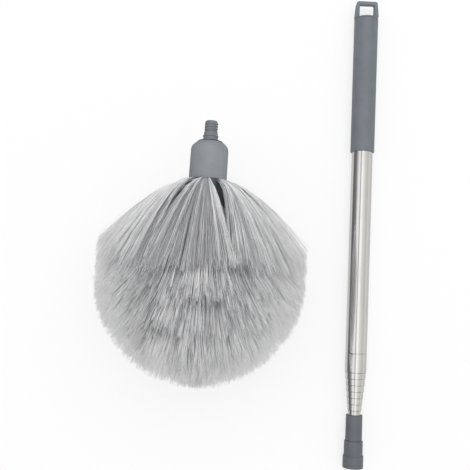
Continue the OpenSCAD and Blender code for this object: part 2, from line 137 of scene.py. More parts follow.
class Made:
    """A node that has been made: its outputs by number or name, as Signals."""

    def __init__(self, recipe: "Recipe", node: bpy.types.Node) -> None:
        """Keeps the node and the recipe that it belongs to."""
        self.recipe = recipe
        self.node = node

    def __getitem__(self, output: Union[int, str]) -> Signal:
        """The output with that number or name."""
        return Signal(self.recipe, self.node.outputs[output])


class Recipe:
    """Builds the node tree of one material or of the world."""

    def __init__(self, owner: Union[bpy.types.Material, bpy.types.World]) -> None:
        """Empties the owner's node tree.

        Args:
            owner: The material or the world.
        """
        owner.use_nodes = True
        self.tree = owner.node_tree
        self.tree.nodes.clear()

    def node(self, kind: str, settings: dict[str, object], sockets: dict[Union[int, str], object]) -> Made:
        """Adds a node of any type.

        Args:
            kind: Blender's type name of the node.
            settings: Properties that are set first; "stops" fills a colour ramp.
            sockets: Input numbers or names with the value, Signal or Made that goes in.

        Returns:
            The node, for its outputs.
        """
        node = self.tree.nodes.new(kind)
        for name, value in settings.items():
            if name == "stops":
                self._fill(node.color_ramp, value)
            else:
                setattr(node, name, value)
        for name, value in sockets.items():
            if isinstance(value, Made):
                value = value[0]
            if isinstance(value, Signal):
                self.tree.links.new(value.socket, node.inputs[name])
            else:
                node.inputs[name].default_value = value
        return Made(self, node)

    @staticmethod
    def _fill(ramp: bpy.types.ColorRamp, stops: Sequence[tuple[float, Colour]]) -> None:
        """Gives a colour ramp its stops.

        Args:
            ramp: The ramp of the node.
            stops: Position and colour of each stop, from left to right.
        """
        for _ in range(len(stops) - 2):
            ramp.elements.new(0.5)
        for element, (place, colour) in zip(ramp.elements, stops):
            element.position = place
            element.color = (*colour, 1)

    def mixed(self, factor: Value, first: Tint, second: Tint) -> Signal:
        """Blends two colours.

        Args:
            factor: Share of the second colour.
            first: Colour, or a Signal that carries one.
            second: Colour, or a Signal that carries one.

        Returns:
            The blended colour.
        """
        sockets = {0: factor, 6: self._rgba(first), 7: self._rgba(second)}
        return self.node("ShaderNodeMix", {"data_type": "RGBA"}, sockets)[2]

    @staticmethod
    def _rgba(colour: Tint) -> Union[Signal, tuple[float, ...]]:
        """A plain colour with its alpha, or the Signal as it is."""
        return colour if isinstance(colour, Signal) else (*colour, 1)

    def place(self, scale: Sequence[float] = (1, 1, 1)) -> Signal:
        """The point of the piece being shaded, in metres, stretched along each axis by scale."""
        spot = self.node("ShaderNodeTexCoord", {}, {})["Object"]
        return self.node("ShaderNodeVectorMath", {"operation": "MULTIPLY"}, {0: spot, 1: tuple(scale)})[0]

    def noise(self, where: Signal, scale: float, detail: float = 3.0) -> Signal:
        """A soft random value from 0 to 1, read at where, with scale waves in each metre."""
        return self.node("ShaderNodeTexNoise", {}, {"Vector": where, "Scale": scale, "Detail": detail})[0]

    def bump(self, height: Signal, distance: float, strength: float) -> Signal:
        """A normal tipped by a height; distance is the height's size in metres."""
        sockets = {"Height": height, "Distance": distance, "Strength": strength}
        return self.node("ShaderNodeBump", {}, sockets)[0]

    def surface(self, sockets: dict[Union[int, str], object]) -> None:
        """Ends a material with a Principled BSDF whose sockets are set or linked as given."""
        shader = self.node("ShaderNodeBsdfPrincipled", {}, sockets)
        self.node("ShaderNodeOutputMaterial", {}, {"Surface": shader})


def scaled(colour: Colour, factor: float, lift: float = 0.0) -> Colour:
    """A colour made darker or paler by a factor and a lift."""
    return tuple(min(1.0, c * factor + lift) for c in colour)


# Finishes

class Slot(Enum):
    """The record's material slots."""

    STEEL = "tube_steel"
    GRIP = "grip_plastic"
    SOCKET = "socket_plastic"
    NECK = "neck_plastic"
    NYLON = "nylon"
    BOLT = "bolt_steel"
    BRISTLE = "bristle_plastic"


@dataclass(frozen=True)
class Finish:
    """A procedural material. Each kind of finish paints nodes of its own."""

    name: str

    def material(self) -> bpy.types.Material:
        """Makes the material.

        Returns:
            The painted material.
        """
        made = bpy.data.materials.new(self.name)
        self.paint(Recipe(made))
        return made

    def paint(self, recipe: Recipe) -> None:
        """Fills the recipe with the finish's nodes."""
        raise NotImplementedError


@dataclass(frozen=True)
class PolishedSteel(Finish):
    """Drawn and polished stainless tube: a mirror with faint lines along it and soft wear.

    Rolled mouths and the bead, which face along the pole, get painted shade: their colour is darker than the
    straight wall's.
    """

    name: str = "polished_steel"
    clean: Colour = (0.92, 0.91, 0.893)
    hazy: Colour = (0.82, 0.81, 0.798)
    # rolled is painted shade: the darker colour given to faces that face along the pole.
    rolled: Colour = (0.20, 0.20, 0.205)
    rolled_shade_share: float = 0.65
    rolled_shade_range: Range = (0.01, 0.15)
    gloss: float = 0.07
    haze: float = 0.16
    line_scale: float = 2600.0
    line_stretch: Triple = (1, 0.02, 1)
    line_tint: float = 0.25
    line_rough: float = 0.03
    line_depth: float = 0.004 * MM
    relief: float = 0.5
    smear_scale: float = 90.0
    smear_stretch: Triple = (1, 0.35, 1)
    smear_range: Range = (0.42, 0.72)
    smear_tint: float = 0.5

    def paint(self, recipe: Recipe) -> None:
        """Paints the lines, the smears and painted shade on the rolled rings.

        Args:
            recipe: The material's nodes.
        """
        lines = recipe.noise(recipe.place(self.line_stretch), self.line_scale, detail=2)
        smears = recipe.noise(recipe.place(self.smear_stretch), self.smear_scale, detail=4)
        smears = smears.spread(*self.smear_range)
        facing = recipe.node("ShaderNodeNewGeometry", {}, {})["Normal"]
        slope = recipe.node("ShaderNodeSeparateXYZ", {}, {0: facing})["Y"]
        # Painted shade: faces that face along the pole are darkened towards the rolled colour.
        rolled = (slope * slope).spread(*self.rolled_shade_range) * self.rolled_shade_share
        body = recipe.mixed(smears * self.smear_tint + lines * self.line_tint, self.clean, self.hazy)
        recipe.surface({
            "Base Color": recipe.mixed(rolled, body, self.rolled),
            "Metallic": 1.0,
            "Roughness": self.gloss + smears * (self.haze - self.gloss) + lines * self.line_rough,
            "Normal": recipe.bump(lines, self.line_depth, self.relief),
        })


@dataclass(frozen=True)
class MouldedPlastic(Finish):
    """Injection-moulded plastic with a fine satin grain, slight mottling and rubbed edges."""

    colour: Colour
    roughness: float
    grain_scale: float = 2800.0
    grain_rough: float = 0.12
    grain_depth: float = 0.012 * MM
    relief: float = 0.6
    mottle_scale: float = 60.0
    mottle_range: Range = (0.35, 0.7)
    mottle_shade: float = 0.90
    mottle_shine: float = 0.05
    edge_range: Range = (0.52, 0.60)
    rub: float = 0.12
    rub_shade: float = 1.35
    rub_lift: float = 0.02

    def paint(self, recipe: Recipe) -> None:
        """Paints the grain, the mottling and the paler edges.

        Args:
            recipe: The material's nodes.
        """
        where = recipe.place()
        grain = recipe.noise(where, self.grain_scale, detail=2)
        mottle = recipe.noise(where, self.mottle_scale).spread(*self.mottle_range)
        edge = recipe.node("ShaderNodeNewGeometry", {}, {})["Pointiness"].spread(*self.edge_range)
        body = recipe.mixed(mottle, self.colour, scaled(self.colour, self.mottle_shade))
        rubbed = scaled(self.colour, self.rub_shade, self.rub_lift)
        recipe.surface({
            "Base Color": recipe.mixed(edge * self.rub, body, rubbed),
            "Roughness": self.roughness + grain * self.grain_rough - mottle * self.mottle_shine,
            "Normal": recipe.bump(grain, self.grain_depth, self.relief),
        })


@dataclass(frozen=True)
class StrandPlastic(Finish):
    """Crimped plastic filament: pale grey, darker towards the root, each strand its own tone, which holds
    painted shade and painted light too.
    """

    name: str = "bristle_plastic"
    tip: Colour = (0.965, 0.965, 0.97)
    root: Colour = (0.78, 0.785, 0.795)
    # streak is the dark end of the tone, reached by random dark strands and by painted shade on deeper
    # layers.
    streak: Colour = (0.36, 0.365, 0.38)
    root_end: float = 0.30
    roughness: float = 0.45
    tone_range: Range = (0.1, 0.95)
    tone_share: float = 0.9
    wave_scale: float = 140.0
    wave_share: float = 0.06
    wave_rough: float = 0.15

    def paint(self, recipe: Recipe) -> None:
        """Paints by two attributes of the strands.

        "along" runs from 0 at the root to 1 at the tip, and "tone" from 0, pale, upwards; "tone" holds random
        darkness, painted shade on deeper layers and painted light on sideways tufts.

        Args:
            recipe: The material's nodes.
        """
        along = recipe.node("ShaderNodeAttribute", {"attribute_name": "along"}, {})["Fac"]
        tone = recipe.node("ShaderNodeAttribute", {"attribute_name": "tone"}, {})["Fac"]
        wavy = recipe.noise(recipe.place(), self.wave_scale, detail=2)
        body = recipe.mixed(along.spread(0.0, self.root_end), self.root, self.tip)
        streaked = tone.spread(*self.tone_range) * self.tone_share + wavy * self.wave_share
        recipe.surface({
            "Base Color": recipe.mixed(streaked, body, self.streak),
            "Roughness": self.roughness + wavy * self.wave_rough,
        })


@dataclass(frozen=True)
class MilledNylon(Finish):
    """Natural nylon of the guide bushes: waxy, off-white, with faint turning marks."""

    name: str = "milled_nylon"
    colour: Colour = (0.72, 0.71, 0.66)
    roughness: float = 0.42
    ring_scale: float = 1800.0
    ring_stretch: Triple = (0.02, 1, 0.02)
    ring_rough: float = 0.12
    ring_depth: float = 0.01 * MM
    relief: float = 0.6
    cloud_scale: float = 120.0
    cloud_shade: float = 0.86

    def paint(self, recipe: Recipe) -> None:
        """Paints the clouds and the turning marks.

        Args:
            recipe: The material's nodes.
        """
        rings = recipe.noise(recipe.place(self.ring_stretch), self.ring_scale, detail=1)
        cloud = recipe.noise(recipe.place(), self.cloud_scale)
        recipe.surface({
            "Base Color": recipe.mixed(cloud, self.colour, scaled(self.colour, self.cloud_shade)),
            "Roughness": self.roughness + rings * self.ring_rough,
            "Normal": recipe.bump(rings, self.ring_depth, self.relief),
        })


@dataclass(frozen=True)
class ZincedSteel(Finish):
    """Zinc-plated bolt: grey metal with a mottled, half-dull skin."""

    name: str = "zinced_steel"
    colour: Colour = (0.62, 0.63, 0.66)
    roughness: float = 0.28
    patch_scale: float = 700.0
    patch_range: Range = (0.35, 0.65)
    patch_shade: float = 0.8
    patch_rough: float = 0.15
    patch_depth: float = 0.01 * MM
    relief: float = 0.5

    def paint(self, recipe: Recipe) -> None:
        """Paints the duller patches.

        Args:
            recipe: The material's nodes.
        """
        patches = recipe.noise(recipe.place(), self.patch_scale, detail=4).spread(*self.patch_range)
        recipe.surface({
            "Base Color": recipe.mixed(patches, self.colour, scaled(self.colour, self.patch_shade)),
            "Metallic": 1.0,
            "Roughness": self.roughness + patches * self.patch_rough,
            "Normal": recipe.bump(patches, self.patch_depth, self.relief),
        })


# Mesh making

@dataclass(frozen=True)
class Span:
    """How far a CAD node reaches along one axis, at rest."""

    low: float
    high: float

    @classmethod
    def of(cls, node: str, axis: int) -> "Span":
        """Reads the span of a node along X, Y or Z from the frame."""
        low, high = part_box(node)
        return cls(low[axis], high[axis])

    @property
    def middle(self) -> float:
        """The place halfway."""
        return (self.low + self.high) / 2

    @property
    def half(self) -> float:
        """Half the length."""
        return (self.high - self.low) / 2


def added(name: str, data: bpy.types.ID) -> bpy.types.Object:
    """Puts a mesh, a camera or a lamp into the scene.

    Args:
        name: Name of the object.
        data: The mesh, camera or lamp.

    Returns:
        The object.
    """
    thing = bpy.data.objects.new(name, data)
    bpy.context.scene.collection.objects.link(thing)
    return thing


@contextmanager
def edited(mesh: bpy.types.Mesh) -> Iterator[bmesh.types.BMesh]:
    """Opens a mesh for editing and writes it back afterwards.

    Args:
        mesh: The mesh.

    Yields:
        Its editable form.
    """
    shape = bmesh.new()
    shape.from_mesh(mesh)
    yield shape
    shape.to_mesh(mesh)
    shape.free()


def new_piece(name: str, points: np.ndarray, faces: Sequence[Sequence[int]],
              smooth: float = 35.0) -> bpy.types.Object:
    """Makes an object from points and faces and shades it smooth across gentle angles.

    Args:
        name: Name of the piece.
        points: Its corners.
        faces: Corner numbers of each face.
        smooth: Largest angle that stays smooth.

    Returns:
        The object.
    """
    mesh = bpy.data.meshes.new(name)
    mesh.from_pydata(points.tolist(), [], [list(f) for f in faces])
    mesh.update()
    piece = added(name, mesh)
    soften(piece, smooth)
    return piece


def smooth_all(mesh: bpy.types.Mesh) -> None:
    """Marks every face of a mesh as smooth."""
    mesh.polygons.foreach_set("use_smooth", np.ones(len(mesh.polygons), bool))


def soften(piece: bpy.types.Object, angle: float) -> None:
    """Shades a mesh smooth, with a hard edge wherever it turns sharply.

    Args:
        piece: The piece.
        angle: Largest angle that stays smooth.
    """
    smooth_all(piece.data)
    with edited(piece.data) as shape:
        bmesh.ops.recalc_face_normals(shape, faces=shape.faces)
        for edge in shape.edges:
            edge.smooth = edge.calc_face_angle(math.pi) < math.radians(angle)


def arc(centre: Point, radius: float, start: float, end: float, steps: int) -> list[Point]:
    """Points on an arc.

    Args:
        centre: Middle of the arc, as (height, radius) or (x, y).
        radius: Its radius.
        start: First angle, from the first axis to the second.
        end: Last angle.
        steps: Number of straight pieces.

    Returns:
        steps + 1 points.
    """
    angles = np.radians(np.linspace(start, end, steps + 1))
    return [(centre[0] + radius * math.cos(a), centre[1] + radius * math.sin(a)) for a in angles]


def rounded(outline: Sequence[Point], size: float, steps: int = 4, share: float = 0.45) -> list[Point]:
    """Rounds the inner corners of an open outline.

    Args:
        outline: Corner points; the first and last stay as they are.
        size: Length taken from each side of a corner.
        steps: Number of straight pieces in each rounding.
        share: Most of a side that a rounding may take.

    Returns:
        The outline with a curve at each corner.
    """
    soft = [tuple(outline[0])]
    for before, corner, after in zip(outline, outline[1:], outline[2:]):
        b, c, a = Vector(before), Vector(corner), Vector(after)
        cut = min(size, share * (b - c).length, share * (a - c).length)
        first, last = c + (b - c).normalized() * cut, c + (a - c).normalized() * cut
        for t in np.linspace(0, 1, steps + 1):
            soft.append(tuple(first.lerp(c, t).lerp(c.lerp(last, t), t)))
    soft.append(tuple(outline[-1]))
    return soft


def ring_faces(rings: int, segments: int) -> list[tuple[int, int, int, int]]:
    """Four-sided faces between rings of points that follow one another.

    Args:
        rings: Number of rings.
        segments: Number of points in each ring.

    Returns:
        Corner numbers of each face.
    """
    faces = []
    for k in range(rings - 1):
        for i in range(segments):
            here, there = k * segments, (k + 1) * segments
            j = (i + 1) % segments
            faces.append((here + i, here + j, there + j, there + i))
    return faces


def turned(name: str, outline: Sequence[Point], segments: int = 160,
           closed: bool = False) -> bpy.types.Object:
    """Turns an outline about the Z axis.

    Args:
        name: Name of the piece.
        outline: (height, radius) points; a radius of 0 closes the end.
        segments: Number of facets round the axis.
        closed: True where the last point joins the first, as on a tube's wall.

    Returns:
        The turned piece.
    """
    rings = list(outline) + ([outline[0]] if closed else [])
    angles = np.linspace(0, 2 * math.pi, segments, endpoint=False)
    points = [(max(r, 0) * math.cos(a), max(r, 0) * math.sin(a), h) for h, r in rings for a in angles]
    piece = new_piece(name, np.array(points), ring_faces(len(rings), segments))
    weld(piece)
    return piece


def weld(piece: bpy.types.Object, distance: float = 0.0001 * MM) -> None:
    """Joins corners that lie on one another and drops the faces that vanish with them.

    Args:
        piece: The piece.
        distance: Largest gap that closes.
    """
    with edited(piece.data) as shape:
        bmesh.ops.remove_doubles(shape, verts=shape.verts, dist=distance)
        bmesh.ops.dissolve_degenerate(shape, edges=shape.edges, dist=distance)
        bmesh.ops.recalc_face_normals(shape, faces=shape.faces)


def moved(piece: bpy.types.Object, place: Matrix) -> bpy.types.Object:
    """Moves the mesh itself, so that the object stays at the origin.

    Args:
        piece: The piece.
        place: Where the mesh goes.

    Returns:
        The same piece.
    """
    piece.data.transform(place)
    piece.data.update()
    return piece


def joined(name: str, pieces: Sequence[bpy.types.Object]) -> bpy.types.Object:
    """Makes one mesh of several pieces that belong to one moulding.

    Args:
        name: Name of the joined piece.
        pieces: The pieces; they are used up.

    Returns:
        The joined piece.
    """
    mesh = bpy.data.meshes.new(name)
    with edited(mesh) as shape:
        for piece in pieces:
            shape.from_mesh(piece.data)
            bpy.data.objects.remove(piece)
    return added(name, mesh)


@dataclass(frozen=True)
class Screw:
    """A right-hand thread between two heights; its crest lies inside its root in a nut."""

    low: float
    high: float
    root: float
    crest: float
    pitch: float = 2.5 * MM
    ridge: float = 1.5 * MM
    top: float = 1.0 * MM
    fade: float = 1.2 * MM
    row: float = 0.14 * MM
    segments: int = 96
    smooth: float = 50.0

    def radius(self, height: float, turn: float) -> float:
        """The thread's radius at one point.

        Args:
            height: Place along the axis.
            turn: Place round the axis, from 0 to 1.

        Returns:
            The radius, from the root's to the crest's.
        """
        phase = ((height / self.pitch - turn) % 1.0 - 0.5) * self.pitch
        flank = (self.ridge / 2 - abs(phase)) / ((self.ridge - self.top) / 2)
        share = min(1.0, max(0.0, flank))
        share = share * share * (3 - 2 * share)
        share *= min(1.0, max(0.0, (height - self.low) / self.fade))
        share *= min(1.0, max(0.0, (self.high - height) / self.fade))
        return self.root + (self.crest - self.root) * share

    def skin(self, name: str) -> bpy.types.Object:
        """Makes the threaded surface as a grid that follows the helix.

        Args:
            name: Name of the piece.

        Returns:
            The surface, open at both ends.
        """
        rows = max(2, int((self.high - self.low) / self.row))
        points = []
        for h in np.linspace(self.low, self.high, rows + 1):
            for i in range(self.segments):
                a = 2 * math.pi * i / self.segments
                r = self.radius(h, i / self.segments)
                points.append((r * math.cos(a), r * math.sin(a), h))
        return new_piece(name, np.array(points), ring_faces(rows + 1, self.segments), self.smooth)


# Dressing

def dress(piece: bpy.types.Object, material: bpy.types.Material, body: str,
          stands_for: Sequence[str] = ()) -> None:
    """Gives a piece its finish and its place in the object.

    Args:
        piece: The piece.
        material: Its material.
        body: The body that it rides on.
        stands_for: CAD nodes that it replaces.
    """
    piece.data.materials.clear()
    piece.data.materials.append(material)
    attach(piece, body)
    if stands_for:
        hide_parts(*stands_for)
    log.info("%s: %d faces on %s", piece.name, len(piece.data.polygons), body)


def repaint(node: str, material: bpy.types.Material) -> None:
    """Gives a CAD node that stays in view its material.

    Args:
        node: The node's name.
        material: Its material.
    """
    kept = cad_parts[node]
    if not kept.material_slots:
        kept.data.materials.append(material)
    for place in kept.material_slots:
        place.material = material
    log.info("%s: kept", node)


# Pole

@dataclass
class OnPole:
    """What every sub-assembly of the pole shares: the axis that it is built round."""

    axis_x: float = Span.of("tube_1", X).middle
    axis_z: float = Span.of("tube_1", Z).middle

    def laid(self) -> Matrix:
        """Turns a piece made along Z so that it lies along the pole's axis."""
        return Matrix.Translation((self.axis_x, 0, self.axis_z)) @ Matrix.Rotation(-math.pi / 2, 4, "X")


@dataclass
class Pole(OnPole):
    """Eight telescopic steel tubes with rolled mouths, and the bushes that guide them."""

    tubes: int = 8
    wall: float = 0.4 * MM
    edge: float = 0.15 * MM
    lip: float = 1.5 * MM
    lip_in: float = 0.165 * MM
    nose: float = 1.25 * MM
    nose_power: float = 1.2
    nose_points: int = 13
    roll_low: float = 0.9 * MM
    roll_high: float = 1.95 * MM
    flare: float = 0.05 * MM
    bead_y: float = -130.75 * MM
    bead_w: float = 1.6 * MM
    bead_in: float = 0.165 * MM
    bead_points: int = 15
    facets: int = 192
    smooth: float = 40.0
    steel: PolishedSteel = PolishedSteel()
    nylon: MilledNylon = MilledNylon()

    def wall_outline(self, number: int) -> list[Point]:
        """The closed outline of one tube's wall.

        Args:
            number: The tube, from 1, the outermost, to the last, which has no rolled mouth.

        Returns:
            (height, radius) points, up the outside and down the inside.
        """
        ends, r = Span.of(f"tube_{number}", Y), Span.of(f"tube_{number}", X).half
        last = number == self.tubes
        low, top, e = ends.low, ends.high, self.edge
        inner = r - self.wall
        mouth = inner - (0 if last else self.lip_in)
        outside = [(low, r - self.wall / 2)] if last else self.rolled(low, r)
        if number == 1:
            outside += self.bead(r)
        outside += [(top - e, r)] + arc((top - e, r - e), e, 90, 0, 3)
        inside = [(top, inner + e), (top - e, inner), (low + self.roll_high, inner),
                  (low + self.roll_low, mouth), (low, mouth + self.flare)]
        return outside + inside

    def rolled(self, low: float, r: float) -> list[Point]:
        """The outside of a rolled mouth.

        Args:
            low: Where the mouth ends.
            r: The tube's outer radius.

        Returns:
            (height, radius) points, from the mouth's end inwards along the tube.
        """
        depth = self.lip_in + self.wall / 2
        angles = np.radians(np.linspace(90, 0, self.nose_points))
        curve = [(low + self.nose * (1 - math.sin(a) ** self.nose_power), r - depth * (1 - math.cos(a)))
                 for a in angles]
        return curve + [(low + self.lip, r)]

    def bead(self, r: float) -> list[Point]:
        """The rolled bead: a shallow groove pressed in round a tube of outer radius r."""
        return [(self.bead_y + self.bead_w / 2 * t, r - self.bead_in * math.cos(t * math.pi / 2) ** 2)
                for t in np.linspace(-1, 1, self.bead_points)]

    def build(self) -> None:
        """Builds and dresses the tubes, and paints the bushes that stay as the CAD has them."""
        steel = self.steel.material()
        nylon = self.nylon.material()
        for number in range(1, self.tubes + 1):
            tube = turned(f"steel_tube_{number}", self.wall_outline(number), self.facets, closed=True)
            soften(tube, self.smooth)
            moved(tube, self.laid())
            body = "handle" if number == 1 else f"section_{number}"
            dress(tube, steel, body, [f"tube_{number}"])
            if number > 1:
                repaint(f"bush_{number}", nylon)


@dataclass
class Handle(OnPole):
    """The long plastic grip and the end cap with its square hanging eye."""

    grip_low: float = Span.of("grip", Y).low
    grip_top: float = Span.of("grip", Y).high
    low_r: float = 12.55 * MM
    top_r: float = Span.of("grip", X).high - OnPole.axis_x
    bore_r: float = 11.04 * MM
    edge: float = 0.8 * MM
    edge_steps: int = 6
    facets: int = 160
    smooth: float = 40.0
    plug_r: float = 10.55 * MM
    plug_low: float = Span.of("hang_loop", Y).low
    disc: float = 1.5 * MM
    disc_edge: float = 0.45 * MM
    loop_top: float = Span.of("hang_loop", Y).high
    loop_sunk: float = 0.4 * MM
    foot_w: float = 25.1 * MM
    head_w: float = 22.7 * MM
    thick: float = 9.0 * MM
    corner: float = 2.8 * MM
    corner_steps: int = 8
    bevel: float = 0.75 * MM
    bevel_steps: int = 4
    bevel_from: float = 60.0
    eye_w: float = 16.2 * MM
    eye_h: float = 14.4 * MM
    eye_corner: float = 1.4 * MM
    eye_draft: float = 1.9 * MM
    plastic: MouldedPlastic = MouldedPlastic("grip_plastic", (0.164, 0.181, 0.207), 0.40)

    def sleeve(self) -> bpy.types.Object:
        """The grip: a slightly tapered sleeve with rounded ends.

        Returns:
            The piece, in its place.
        """
        low, top, e = self.grip_low, self.grip_top, self.edge
        outside = arc((low + e, self.low_r - e), e, 180, 90, self.edge_steps)
        outside += [(low + (top - low) * t, self.low_r + (self.top_r - self.low_r) * t)
                    for t in (0.25, 0.5, 0.75)]
        outside += arc((top - e, self.top_r - e), e, 90, 0, self.edge_steps)
        inside = [(top, self.bore_r), (low, self.bore_r)]
        return moved(turned("grip_sleeve", outside + inside, self.facets, closed=True), self.laid())

    def eye(self) -> bpy.types.Object:
        """The cap's flat frame round the hanging eye, whose far side slants towards the camera.

        Returns:
            The piece, in its place.
        """
        disc_top, half = self.grip_top + self.disc, self.thick / 2
        foot = disc_top - self.loop_sunk
        outer = self.frame_line(self.foot_w, self.head_w, foot, self.loop_top, self.corner)
        points, count = [], len(outer)
        for z, draft in ((-half, self.eye_draft), (half, 0.0)):
            eye_top = disc_top + self.eye_h + draft
            inner = self.frame_line(self.eye_w, self.eye_w, disc_top, eye_top, self.eye_corner)
            points += [(x, y, z) for x, y in outer + inner]
        faces = []
        for i in range(count):
            a, b, c, d = (i + count * line for line in range(4))
            e, f, g, h = ((i + 1) % count + count * line for line in range(4))
            faces += [(a, e, f, b), (c, d, h, g), (a, c, g, e), (b, f, h, d)]
        piece = new_piece("eye", np.array(points), faces)
        piece.data.transform(Matrix.Translation((self.axis_x, 0, self.axis_z)))
        self.bevelled(piece)
        return piece

    def frame_line(self, low_w: float, top_w: float, low: float, top: float, corner: float) -> list[Point]:
        """A closed four-sided outline with rounded corners.

        Args:
            low_w: Width at the low end.
            top_w: Width at the top end.
            low: Place of the low end along the pole.
            top: Place of the top end.
            corner: Radius of the corners.

        Returns:
            (x, y) points, the same number for any sizes.
        """
        points = []
        for right, up, start in ((1, -1, -90), (1, 1, 0), (-1, 1, 90), (-1, -1, 180)):
            y, width = (top, top_w) if up > 0 else (low, low_w)
            centre = (right * (width / 2 - corner), y - up * corner)
            points += arc(centre, corner, start, start + 90, self.corner_steps)
        return points

    def bevelled(self, piece: bpy.types.Object) -> None:
        """Rounds the frame's long edges with an applied Bevel modifier.

        Args:
            piece: The frame.
        """
        modifier = piece.modifiers.new("edges", "BEVEL")
        modifier.width = self.bevel
        modifier.segments = self.bevel_steps
        modifier.limit_method = "ANGLE"
        modifier.angle_limit = math.radians(self.bevel_from)
        graph = bpy.context.evaluated_depsgraph_get()
        shaped = bpy.data.meshes.new_from_object(piece.evaluated_get(graph))
        piece.modifiers.clear()
        piece.data = shaped
        soften(piece, self.smooth)

    def cap(self) -> bpy.types.Object:
        """The cap's disc and the plug that holds it in the first tube.

        Returns:
            The piece, in its place.
        """
        low, top, r = self.grip_top, self.grip_top + self.disc, self.top_r
        outline = [(self.plug_low, 0), (self.plug_low, self.plug_r), (low, self.plug_r),
                   (low, r), (top, r), (top, 0)]
        return moved(turned("cap", rounded(outline, self.disc_edge)), self.laid())

    def build(self) -> None:
        """Builds and dresses the grip and the end cap."""
        plastic = self.plastic.material()
        dress(self.sleeve(), plastic, "handle", ["grip"])
        cap = joined("hanging_cap", [self.cap(), self.eye()])
        dress(cap, plastic, "handle", ["hang_loop"])


@dataclass(frozen=True)
class ScrewFit:
    """The stub's radii, and the play that the socket leaves round it."""

    collar_r: float = 7.4 * MM
    shank_r: float = 6.5 * MM
    crest_r: float = 6.3 * MM
    root_r: float = 5.5 * MM
    play: float = 0.15 * MM


@dataclass
class ScrewSocket(OnPole):
    """The three-stepped socket that the brush head screws into. Depths are from its mouth."""

    end: float = Span.of("screw_socket", Y).low
    slim_top: float = Span.of("screw_socket", Y).high
    mouth_deep: float = 12.2 * MM
    middle_deep: float = 27.9 * MM
    mouth_r: float = Span.of("screw_socket", X).high - OnPole.axis_x
    middle_low_r: float = 9.65 * MM
    middle_top_r: float = 9.55 * MM
    slim_low_r: float = 8.55 * MM
    slim_top_r: float = 8.45 * MM
    groove: float = 0.35 * MM
    groove_w: float = 0.8 * MM
    counter_r: float = ScrewFit.collar_r + ScrewFit.play
    counter_deep: float = 4.0 * MM
    shank_r: float = ScrewFit.shank_r + ScrewFit.play
    shank_deep: float = 7.4 * MM
    minor_r: float = ScrewFit.root_r + ScrewFit.play
    major_r: float = ScrewFit.crest_r + ScrewFit.play
    runout: float = 0.9 * MM
    bottom_deep: float = 20.0 * MM
    web: float = 2.4 * MM
    tube_r: float = Span.of("tube_8", X).half + 0.03 * MM
    edge: float = 0.4 * MM
    plastic: MouldedPlastic = MouldedPlastic("socket_plastic", (0.127, 0.138, 0.150), 0.38)

    def build(self) -> None:
        """Builds and dresses the socket, with the thread inside its mouth."""
        end, top, ring_r = self.end, self.slim_top, self.slim_low_r - self.groove
        counter, thread_low = end + self.counter_deep, end + self.shank_deep
        bottom, thread_high = end + self.bottom_deep, end + self.bottom_deep - self.runout
        mouth, middle, web = end + self.mouth_deep, end + self.middle_deep, bottom + self.web
        outline = [
            (thread_low, self.minor_r), (thread_low, self.shank_r), (counter, self.shank_r),
            (counter, self.counter_r), (end, self.counter_r), (end, self.mouth_r),
            (mouth, self.mouth_r), (mouth, self.middle_low_r),
            (middle - self.groove_w, self.middle_top_r), (middle - self.groove_w, ring_r),
            (middle, ring_r), (middle, self.slim_low_r),
            (top, self.slim_top_r), (top, self.tube_r), (web, self.tube_r), (web, 0),
        ]
        floor = [
            (thread_high, self.minor_r), (thread_high, self.major_r), (bottom, self.major_r), (bottom, 0),
        ]
        shell = turned("shell", rounded(outline, self.edge))
        thread = Screw(thread_low, thread_high, self.major_r, self.minor_r).skin("thread")
        socket = joined("screw_socket_moulding", [shell, turned("bottom", floor, Screw.segments), thread])
        moved(socket, self.laid())
        dress(socket, self.plastic.material(), "section_8", ["screw_socket"])


# Brush head

@dataclass
class OnHead:
    """What both halves of the head share: where it lies and the core that they are built round."""

    centre: Triple = (-37.5 * MM, -64.8 * MM, 99.0 * MM)
    turn: float = -1.2
    core_r: float = 17.4 * MM
    core_top: float = 94.5 * MM

    def laid(self) -> Matrix:
        """Lays the upright head on its side, with the neck towards +Y."""
        return (Matrix.Translation(self.centre) @ Matrix.Rotation(math.radians(self.turn), 4, "Z")
                @ Matrix.Rotation(-math.pi / 2, 4, "X"))


